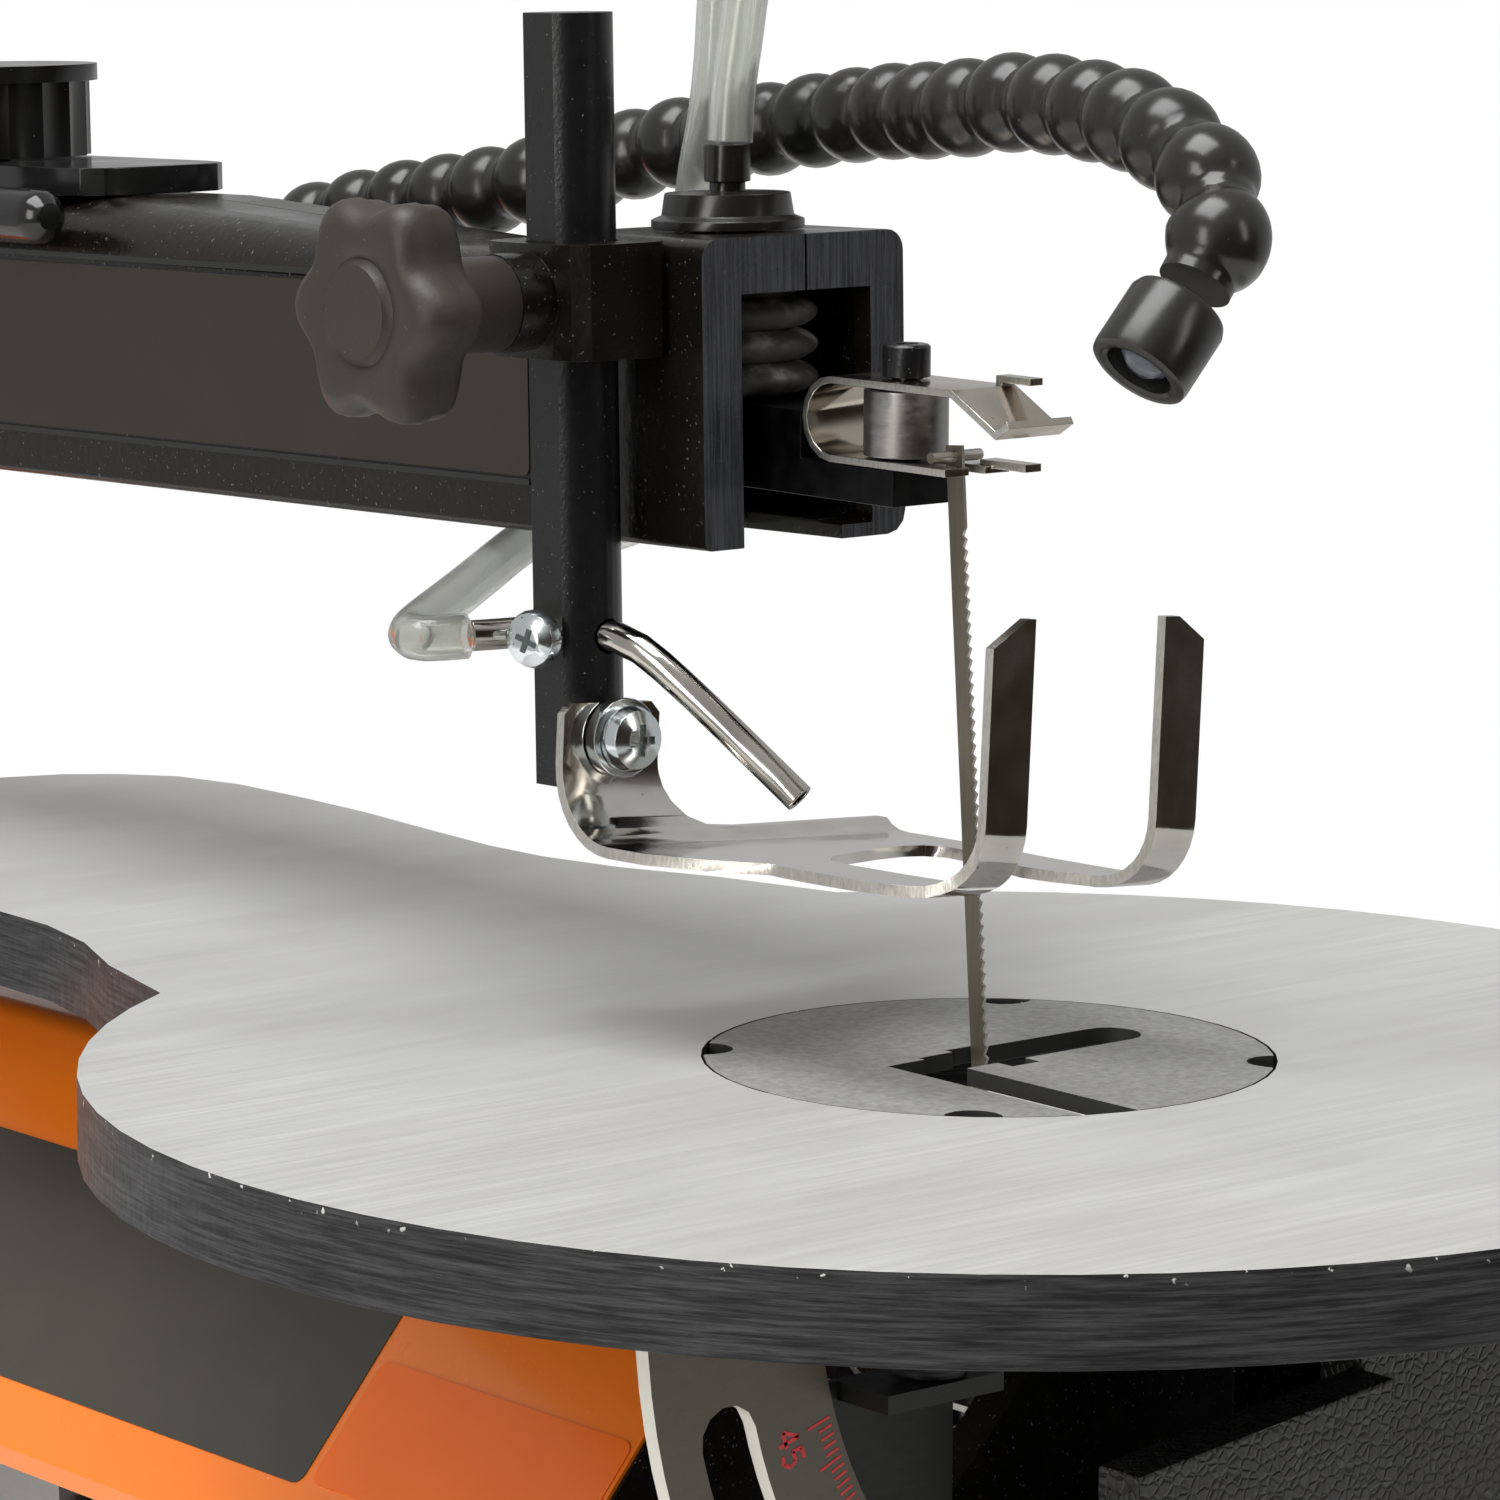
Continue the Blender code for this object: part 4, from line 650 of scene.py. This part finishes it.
def leather_plastic():
    nodes = Nodes("embossed_black_plastic")
    cells = nodes.cells(620)
    # The grain's cell borders are darker: painted shade in the grooves of the embossing.
    tone = nodes.mix(nodes.ranged(cells, 0.0, 0.18), (0.008, 0.008, 0.008), (0.026, 0.025, 0.024))
    nodes.bump(nodes.ranged(cells, 0.0, 0.22), 0.9, 0.22)
    return nodes.set(Base_Color=tone, Roughness=0.44)


def dust_and_sheen_rubber():
    nodes = Nodes("dust_and_sheen_rubber")
    dust = nodes.ranged(nodes.noise(240, 5.0), 0.40, 0.72)
    # Upward faces turn paler: partly settled dust, partly a painted highlight on the upper faces of the
    # folds.
    up = nodes.ranged(nodes.facing((0, 0, 1)), -0.2, 0.8, 0.15, 1.0)
    tone = nodes.mix(nodes.maths("MULTIPLY", dust, up), (0.06, 0.06, 0.06), (0.42, 0.41, 0.39))
    nodes.bump(nodes.noise(900, 3.0), 0.4, 0.15)
    return nodes.set(Base_Color=tone, Roughness=0.72)


def clear_tube():
    nodes = Nodes("clear_tube")
    haze = nodes.noise(160, 3.0)
    tone = nodes.mix(haze, (0.86, 0.88, 0.82), (0.95, 0.96, 0.93))
    nodes.bump(nodes.noise(260, 2.0), 0.10, 0.15)
    rough = nodes.ranged(haze, 0.3, 0.7, 0.06, 0.16)
    return nodes.set(Base_Color=tone, Roughness=rough, Transmission_Weight=0.88, IOR=1.42)


def clear_lens():
    nodes = Nodes("clear_lens")
    haze = nodes.noise(300, 3.0)
    tone = nodes.mix(haze, (0.66, 0.74, 0.93), (0.86, 0.91, 1.0))
    rough = nodes.ranged(haze, 0.3, 0.7, 0.04, 0.10)
    return nodes.set(Base_Color=tone, Roughness=rough, Transmission_Weight=0.9, IOR=1.49)


def printed(name, low, high, rough):
    nodes = Nodes(name)
    tone = nodes.mix(nodes.noise(80, 4.0), low, high)
    nodes.bump(nodes.noise(800, 2.0), 0.10, 0.08)
    return nodes.set(Base_Color=tone, Roughness=rough)


def dress_nodes():
    """Gives every carried-over CAD node its material and its rounded edges."""
    paint = black_paint()
    milled = black_paint(True)
    orange = orange_paint()
    moulding = moulded("black_moulding", (0.0095, 0.009, 0.0085), (0.018, 0.017, 0.016), 0.24, 900, 0.10)
    knob = moulded("matte_knob", (0.024, 0.020, 0.0145), (0.034, 0.028, 0.021), 0.50, 1300, 0.45)
    chrome = bright_plate("bright_chrome", (0.52, 0.50, 0.47), (0.80, 0.78, 0.74), 0.07, 0.24)
    drawn = bright_plate("drawn_tube", (0.36, 0.34, 0.31), (0.66, 0.63, 0.58), 0.09, 0.0, 0.05, False)
    zinc = bright_plate("clear_zinc", (0.60, 0.66, 0.68), (0.82, 0.86, 0.86), 0.15, 0.0, 0.06, False)
    nickel = bright_plate("nickel_plate", (0.34, 0.30, 0.255), (0.62, 0.57, 0.50), 0.12, 0.16)
    steel = bare_steel("turned_steel", (0.20, 0.195, 0.19), (0.40, 0.39, 0.38), (1, 1, 4), 0.30)
    scale = scale_plate()
    iron = bare_steel("cast_iron", (0.010, 0.010, 0.011), (0.035, 0.034, 0.034), (1, 1, 1), 0.36)
    oxide = black_oxide()
    rubber = dust_and_sheen_rubber()
    red = moulded("red_plastic", (0.42, 0.020, 0.016), (0.52, 0.032, 0.024), 0.26)
    glossy = moulded("glossy_black", (0.006, 0.006, 0.006), (0.012, 0.012, 0.012), 0.16, 700, 0.05)
    looks = {
        "base_plate": (paint, 1.5), "front_stand": (paint, 1.0), "rear_stand": (paint, 1.0),
        "trunnion_bracket": (paint, 0.8), "motor_housing": (paint, 0.8),
        "arm_housing_left": (milled, 0.7), "arm_housing_right": (milled, 0.7),
        "lower_housing_left": (orange, 1.2), "lower_housing_right": (orange, 1.2),
        "column_left": (orange, 1.5), "column_right": (orange, 1.5),
        "arm_top_cover": (glossy, 0.6), "tension_lever": (glossy, 0.4), "bellows_cap": (moulding, 0.35),
        "motor_end_cover": (moulding, 0.6), "control_box": (leather_plastic(), 0.7),
        "post_lock_knob": (knob, 0.9), "tension_knob": (knob, 0.6), "tilt_lock_knob": (knob, 0.6),
        "speed_knob": (knob, 0.4), "lamp_base": (moulding, 0.6), "lamp_head": (moulding, 0.3),
        "table": (table_metal(), 0.35), "table_insert": (cast_insert(), 0.2), "bevel_plate": (scale, 0.25),
        "hold_down_foot": (chrome, 0.28), "blower_tube": (drawn, 0.12), "foot_screw": (zinc, 0.25),
        "foot_washer": (zinc, 0.2), "tube_set_screw": (zinc, 0.3), "tension_spring": (zinc, 0.1),
        "upper_blade_clip": (nickel, 0.18), "lower_blade_clip": (nickel, 0.18),
        "upper_clip_spacer": (steel, 0.3), "lower_clip_spacer": (steel, 0.3),
        "upper_clip_screw": (oxide, 0.25), "lower_clip_screw": (oxide, 0.25),
        "upper_rocker_arm": (iron, 0.6), "lower_rocker_arm": (iron, 0.6), "foot_post": (oxide, 0.25),
        "saw_blade": (blade_steel(), 0.0), "upper_pivot_pin": (steel, 0.3),
        "lower_pivot_pin": (steel, 0.3), "tension_rod": (steel, 0.2), "connecting_rod": (steel, 0.3),
        "crank_wheel": (iron, 0.5), "motor_rotor": (steel, 0.2), "cord_gland": (rubber, 0.5),
        "foot_front_left": (rubber, 1.0), "foot_front_right": (rubber, 1.0),
        "foot_rear_left": (rubber, 1.0), "foot_rear_right": (rubber, 1.0),
        "tilt_pointer": (red, 0.3), "power_switch": (red, 0.5),
        "lamp_lens": (clear_lens(), 0.2), "air_hose": (clear_tube(), 0.0), "air_bellows": (rubber, 0.0),
        "gooseneck_lower": (glossy, 0.0), "gooseneck_upper": (glossy, 0.0),
    }
    group, limit = smoothing()
    coarse = {"blower_tube", "tension_spring", "hold_down_foot", "upper_blade_clip", "lower_blade_clip"}
    for name, (material, width) in looks.items():
        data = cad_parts[name].data
        data.materials.clear()
        data.materials.append(material)
        soften(name, width, group, limit, COARSE_SHARP_ANGLE if name in coarse else SHARP_ANGLE)
    return {"rubber": rubber, "zinc": zinc, "knob": knob, "red": red, "moulding": moulding,
            "paint": paint}


# Pieces

def make_bellows(material):
    """The blower's bellows: three round folds between the arm's floor and the cap."""
    low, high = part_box("air_bellows")
    height = (high.z - low.z) / MM
    neck = 9.9
    swell = 3.1
    folds = 3
    pitch = 4.7
    profile = [(0.0, 0.0), (neck, 0.0)]
    steps = 10
    for fold in range(folds):
        for step in range(1, steps + 1):
            share = step / steps
            radius = neck + swell * math.sin(math.pi * share) ** 0.75
            profile.append((radius, pitch * (fold + share)))
    profile += [(neck, height), (0.0, height)]
    centre = Vector(((low.x + high.x) / 2, (low.y + high.y) / 2, low.z)) / MM
    mesh = turned(profile, 48)
    place = turn_to((0, math.sin(ARM_PITCH), math.cos(ARM_PITCH)), centre)
    piece = place_piece("bellows_folds", mesh, material, "root", place, 60)
    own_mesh(piece)
    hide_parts("air_bellows")


def bead_radius(share, pitch):
    """The gooseneck's radius along one bead: a ball, then the narrow collar of its socket."""
    offset = (share - NECK_BALL_SHARE / 2) * pitch
    if share > NECK_BALL_SHARE:
        return NECK_COLLAR
    return math.sqrt(NECK_BALL ** 2 - offset ** 2)


def make_neck(name, route, node, body, material):
    """One stretch of the gooseneck, as a whole number of beads along its route."""
    length = path_length(smooth_path(route))
    pitch = length / round(length / NECK_PITCH)
    path = [to_saw(point) for point in even_path(route, pitch / NECK_SAMPLES)]
    shares = [(index % NECK_SAMPLES) / NECK_SAMPLES for index in range(len(path))]
    mesh = solid_sweep(path, [bead_radius(share, pitch) for share in shares], sides=36)
    piece = place_piece(name, mesh, material, body, smooth=40)
    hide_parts(node)


def make_head(material):
    """The lamp's short head: a plain barrel whose rim stands round the lens."""
    tip = to_saw((-23.4, -52.9, 306.2))
    along = (tip - to_saw((-11.4, -52.9, 319.2))).normalized()
    profile = [(0, -11.4), (5.6, -11.4), (6.5, -10.9), (6.9, -10.0), (6.9, -1.0), (6.75, -0.3),
               (6.3, 0.0), (5.2, 0.0), (4.7, -0.4), (4.6, -1.2), (4.6, -5.7), (0, -5.7)]
    mesh = turned(profile, 48)
    piece = place_piece("lamp_barrel", mesh, material, "lamp_end", turn_to(along, tip), 35)
    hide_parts("lamp_head")


def make_panel(name, outline, thick, matrix, material):
    """A thin flat piece on the fixed body."""
    piece = place_piece(name, slab(outline, thick), material, "root", matrix)


def side_matrix(place):
    """A plate's frame on the saw's left side: its X runs forward, its Y up, its face to -X."""
    columns = Matrix(((0, 0, -1), (-1, 0, 0), (0, 1, 0)))
    return Matrix.Translation(place) @ columns.to_4x4()


def front_matrix(place):
    """A plate's frame that faces forward: its X runs right and its Y up."""
    columns = Matrix(((1, 0, 0), (0, 0, -1), (0, 1, 0)))
    return Matrix.Translation(place) @ columns.to_4x4()


def arm_side_matrix(height):
    """The frame of a plate on the arm's left side, at a height in the pitched arm's frame."""
    pitch = Matrix.Rotation(-ARM_PITCH, 4, "X")
    return Matrix.Translation(to_arm((ARM_SIDE, 0, height))) @ pitch @ side_matrix(Vector((0, 0, 0)))


def make_arm_panel():
    """The plain panel and the two thin ribs on the arm's left side."""
    brown = printed("arm_panel_brown", (0.0105, 0.0074, 0.0036), (0.0180, 0.0126, 0.0060), 0.46)
    panel = rounded(ARM_PANEL_BACK, 0, ARM_PANEL_FRONT, 26.5, 1.5)
    make_panel("arm_side_panel", panel, 0.22, arm_side_matrix(8.2), brown)
    line = printed("arm_line_black", (0.006, 0.006, 0.006), (0.010, 0.010, 0.010), 0.35)
    for label, height in (("lower", 6.9), ("upper", 35.6)):
        strip = rounded(ARM_PANEL_BACK, 0, ARM_PANEL_FRONT, 0.9, 0.3, 2)
        make_panel("arm_line_" + label, strip, 0.30, arm_side_matrix(height), line)


def lobed_ring(mesh, inset, height):
    """One ring of the knob's six-lobed outline, drawn in by an inset, at a height."""
    ring = []
    for step in range(KNOB_LOBES * KNOB_STEPS):
        angle = 2 * math.pi * step / (KNOB_LOBES * KNOB_STEPS)
        wave = -math.cos(KNOB_LOBES * angle)
        radius = KNOB_RADIUS + KNOB_WAVE * wave * max(0.0, 1 - inset / KNOB_FADE)
        scale = max(0.0, radius - inset)
        ring.append(mesh.verts.new((scale * math.cos(angle), scale * math.sin(angle), height)))
    return ring


def make_post_knob(material):
    """The post's clamp knob: six round lobes, soft rims and a sunk ring in its face."""
    low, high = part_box("post_lock_knob")
    centre = Vector((low.x, (low.y + high.y) / 2, (low.z + high.z) / 2)) / MM
    profile = [(8.6, 0.55), (8.2, 0.0), (7.6, -0.5), (7.0, -0.15), (3.0, 0.35), (2.0, -0.1),
               (1.1, -0.75), (0.4, -1.7), (0.0, -3.0), (-0.15, -5.4), (0.0, -5.9), (0.15, -6.4),
               (0.3, -8.6), (0.9, -9.9), (1.9, -10.7), (3.2, -11.0), (7.6, -11.0)]
    mesh = bmesh.new()
    rings = [lobed_ring(mesh, inset, height - 0.6) for inset, height in profile]
    for first, second in zip(rings, rings[1:]):
        join_rings(mesh, first, second)
    mesh.faces.new(rings[0])
    mesh.faces.new(rings[-1][::-1])
    stem = [(0, -10.9), (6.75, -10.9), (6.75, -25.2), (6.2, -25.9), (4.0, -25.9), (4.0, -33.8),
            (0, -33.8)]
    merge(mesh, turned(stem, 40))
    piece = place_piece("clamp_knob", mesh, material, "post_knob", turn_to((-1, 0, 0), centre), 50)
    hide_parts("post_lock_knob")


def add_stroke(mesh, start, end, half, face):
    """A thin printed bar on the bevel plate from one (x, z) place to another."""
    along = (end - start).normalized()
    across = Vector((-along.y, along.x)) * half
    rows = []
    for depth in (0.0, 0.06):
        spots = (start - across, start + across, end + across, end - across)
        rows.append([mesh.verts.new((spot.x, face + depth + BLADE_Y, spot.y)) for spot in spots])
    mesh.faces.new(rows[0])
    mesh.faces.new(rows[1][::-1])
    join_rings(mesh, rows[1], rows[0])


def on_plate(radius, degrees):
    """The (x, z) place at a radius and an angle round the table's tilt axis."""
    angle = math.radians(degrees)
    return Vector((radius * math.cos(angle), TILT_AXIS_Z + radius * math.sin(angle)))


def make_scale(red):
    """The degree ticks on the bevel plate with their numbers, and nothing else."""
    face = PLATE_FACE - 0.07
    mesh = bmesh.new()
    for degree in range(0, 46):
        reach = LONG_TICK_OUTER if degree % 5 == 0 else TICK_OUTER
        ends = [on_plate(radius, FIRST_TICK + degree) for radius in (TICK_INNER, reach)]
        add_stroke(mesh, *ends, TICK_HALF_WIDTH, face)
    strokes = {
        "0": [(0.1, 0, 0.7, 0), (0.7, 0, 0.7, 1), (0.7, 1, 0.1, 1), (0.1, 1, 0.1, 0)],
        "1": [(0.4, 0, 0.4, 1), (0.4, 1, 0.15, 0.75)],
        "3": [(0.1, 1, 0.7, 1), (0.7, 1, 0.35, 0.58), (0.35, 0.58, 0.75, 0.3),
              (0.75, 0.3, 0.1, 0)],
        "4": [(0.62, 0, 0.62, 1), (0.62, 1, 0.05, 0.34), (0.05, 0.34, 0.85, 0.34)],
        "5": [(0.72, 1, 0.18, 1), (0.18, 1, 0.14, 0.56), (0.14, 0.56, 0.6, 0.6), (0.6, 0.6, 0.76, 0.3),
              (0.76, 0.3, 0.5, 0.0), (0.5, 0.0, 0.1, 0.06)],
    }
    for degree, text in ((0, "45"), (15, "30"), (30, "15"), (45, "0")):
        middle = on_plate(NUMBER_RADIUS, FIRST_TICK + degree + 0.9)
        out = (middle - Vector((0, TILT_AXIS_Z))).normalized()
        read = Vector((-out.y, out.x))
        for index, digit in enumerate(text):
            base = middle + read * (NUMBER_WIDTH * (index - 0.5 * len(text)))
            for a0, b0, a1, b1 in strokes[digit]:
                start = base + read * (a0 * NUMBER_WIDTH) - out * ((b0 - 0.5) * NUMBER_HEIGHT)
                end = base + read * (a1 * NUMBER_WIDTH) - out * ((b1 - 0.5) * NUMBER_HEIGHT)
                add_stroke(mesh, start, end, NUMBER_HALF_STROKE, face)
    piece = place_piece("bevel_marks", mesh, red, "tilting_table")


def make_set_screw_cross():
    """The cross recess of the blower tube's clamp screw, shown by a flat dark cross of painted shade."""
    axis = Vector((0.94, 0.34, 0.0)).normalized()
    head = 3.05
    centre = to_saw(Vector((-36.4, 56.0, TABLE_TOP + 55.8)) - axis * head)
    reach = 1.75
    half = 0.38
    cross = []
    for quarter in range(4):
        turn = Matrix.Rotation(math.radians(90 * quarter), 2)
        cross += [turn @ Vector(corner) for corner in ((reach, -half), (reach, half), (half, half))]
    # The flat dark cross is painted shade standing in for the recess.
    dark = printed("painted_recess_shade", (0.05, 0.07, 0.07), (0.10, 0.13, 0.12), 0.4)
    piece = place_piece("set_screw_cross", slab(cross, 0.12), dark, "post", turn_to(-axis, centre))


def make_spring_washer(zinc):
    """The split spring washer behind the foot screw's head."""
    low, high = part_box("foot_screw")
    centre = (Vector(low) + Vector(high)) / 2 / MM
    head = 3.5
    front = low.y / MM + head
    inner, outer, thick = 4.1, 5.0, 0.315
    start = math.radians(20)
    turn = 2 * math.pi - 0.12
    rise = 0.25
    sides = 40
    mesh = bmesh.new()
    rows = []
    for step in range(sides + 1):
        share = step / sides
        side = Vector((math.cos(start + turn * share), 0, math.sin(start + turn * share)))
        row = []
        for radius, depth in ((inner, 0), (outer, 0), (outer, thick), (inner, thick)):
            place = Vector((centre.x, front + depth + rise * share, centre.z)) + radius * side
            row.append(mesh.verts.new(place))
        rows.append(row)
    for first, second in zip(rows, rows[1:]):
        join_rings(mesh, first, second)
    mesh.faces.new(rows[0][::-1])
    mesh.faces.new(rows[-1])
    piece = place_piece("spring_washer", mesh, zinc, "post")


def make_labels(red):
    """Plain panels where the saw carries its labels, with nothing printed on them."""
    dark = printed("label_charcoal", (0.040, 0.037, 0.029), (0.056, 0.051, 0.040), 0.34)
    warm = printed("label_orange_red", (0.93, 0.150, 0.006), (0.98, 0.18, 0.010), 0.22)
    slope = math.atan2(LABEL_RISE, LABEL_RUN)
    side = Vector((-math.sin(slope), 0, math.cos(slope)))
    up = Vector((math.cos(slope), 0, math.sin(slope)))
    columns = Matrix(((up.x, 0, side.x), (up.y, 1, side.y), (up.z, 0, side.z)))
    lower_edge = to_saw((-56.0, 0, 122.0)) + side * 0.05
    base = Matrix.Translation(lower_edge) @ columns.to_4x4()
    large = rounded(10.5, 97.5, 50, 262, 2.0)
    small = rounded(11.5, 35.8, 33, 95.6, 2.0)
    make_panel("side_label", large, 0.15, base, dark)
    make_panel("side_label_small", small, 0.15, base, warm)
    low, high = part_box("control_box")
    corner = Vector((high.x / MM - 60, low.y / MM + 6.0, high.z / MM - 36))
    plate = rounded(0, 0, 20, 9, 1.0)
    make_panel("box_label", plate, 0.15, front_matrix(corner), red)


def make_covers(paint):
    """The dark plates that close the lower housing's end and stand in for its shade, and the control box's
    inner wall.
    """
    # The housing's end plates are painted shade: dark sheets where the housing's end shows only shade.
    half = [(9.8, 120.0), (55.2, 120.0), (55.2, 122.4), (11.2, 173.8), (9.8, 174.8)]
    base = front_matrix(to_saw((0, 34.8, 0)))
    for label, side in (("left", -1), ("right", 1)):
        outline = [(side * x, z) for x, z in half][::side]
        make_panel("housing_end_shade_" + label, outline, 0.6, base, paint)
    wall = rounded(4, 150, 26, 181, 1.0)
    place = front_matrix(to_saw((0, -45.4, 0)))
    make_panel("box_inner_wall", wall, 0.5, place, paint)


# Stage

def make_stage():
    """A pale round floor under the saw's feet."""
    turns = [2 * math.pi * step / FLOOR_SIDES for step in range(FLOOR_SIDES)]
    outline = [(FLOOR_RADIUS * math.cos(angle), FLOOR_RADIUS * math.sin(angle)) for angle in turns]
    mesh = slab(outline, 0.001)
    data = bpy.data.meshes.new("floor")
    bmesh.ops.translate(mesh, vec=(0, 0, -0.0015), verts=mesh.verts[:])
    mesh.to_mesh(data)
    mesh.free()
    nodes = Nodes("floor_pale")
    tone = nodes.mix(nodes.noise(3, 2.0), (0.86, 0.86, 0.85), (0.89, 0.89, 0.88))
    data.materials.append(nodes.set(Base_Color=tone, Roughness=0.9))
    floor = bpy.data.objects.new("floor", data)
    bpy.context.scene.collection.objects.link(floor)


def add_light(name, place, target, size, power, colour=(1, 1, 1)):
    """A rectangular lamp at a place that points at a target."""
    data = bpy.data.lights.new(name, "AREA")
    data.shape = "RECTANGLE"
    data.size, data.size_y = size
    data.energy = power
    data.color = colour
    lamp = bpy.data.objects.new(name, data)
    lamp.location = place
    aim = Vector(target) - Vector(place)
    lamp.rotation_euler = aim.to_track_quat("-Z", "Y").to_euler()
    bpy.context.scene.collection.objects.link(lamp)


def make_light():
    """A white studio whose dim side, behind the camera, gives bright metal its dark reflections."""
    world = bpy.data.worlds.new("studio")
    world.use_nodes = True
    tree = world.node_tree
    background = tree.nodes["Background"]
    place = tree.nodes.new("ShaderNodeTexCoord")
    toward = tree.nodes.new("ShaderNodeVectorMath")
    toward.operation = "DOT_PRODUCT"
    toward.inputs[1].default_value = (-0.05, -0.95, -0.30)
    tree.links.new(place.outputs["Generated"], toward.inputs[0])
    ramp = tree.nodes.new("ShaderNodeMapRange")
    ramp.interpolation_type = "SMOOTHSTEP"
    ramp.inputs["From Min"].default_value = 0.30
    ramp.inputs["From Max"].default_value = 0.72
    tree.links.new(toward.outputs["Value"], ramp.inputs["Value"])
    room = tree.nodes.new("ShaderNodeMix")
    room.data_type = "RGBA"
    bright, dim = colour_sockets(room.inputs)
    bright.default_value = (0.50, 0.50, 0.50, 1)
    dim.default_value = (0.030, 0.022, 0.016, 1)
    tree.links.new(ramp.outputs["Result"], room.inputs["Factor"])
    path = tree.nodes.new("ShaderNodeLightPath")
    seen = tree.nodes.new("ShaderNodeMix")
    seen.data_type = "RGBA"
    reflected, backdrop = colour_sockets(seen.inputs)
    backdrop.default_value = (1.0, 1.0, 1.0, 1)
    tree.links.new(path.outputs["Is Camera Ray"], seen.inputs["Factor"])
    tree.links.new(colour_sockets(room.outputs)[0], reflected)
    tree.links.new(colour_sockets(seen.outputs)[0], background.inputs["Color"])
    bpy.context.scene.world = world
    bpy.context.scene.view_settings.view_transform = "Standard"
    middle = (0.0, -0.15, 0.27)
    add_light("overhead", (-0.35, -0.15, 1.75), middle, (1.1, 1.1), 28)
    add_light("left_strip", (-1.6, -0.55, 0.75), middle, (0.45, 1.1), 9.0, (1.0, 0.97, 0.92))
    add_light("front_strip", (0.55, -1.7, 1.0), middle, (0.25, 0.9), 3.0, (1.0, 0.97, 0.93))


def main():
    make_camera()
    make_hose()
    looks = dress_nodes()
    make_bellows(looks["rubber"])
    moulding = looks["moulding"]
    make_neck("gooseneck_beads_lower", NECK_LOWER, "gooseneck_lower", "lamp_lower", moulding)
    make_neck("gooseneck_beads_upper", NECK_UPPER, "gooseneck_upper", "lamp_upper", moulding)
    make_head(moulding)
    make_covers(looks["paint"])
    make_arm_panel()
    make_post_knob(looks["knob"])
    make_scale(printed("scale_red", (0.66, 0.022, 0.030), (0.78, 0.045, 0.050), 0.36))
    make_set_screw_cross()
    make_spring_washer(looks["zinc"])
    make_labels(looks["red"])
    make_stage()
    make_light()


main()
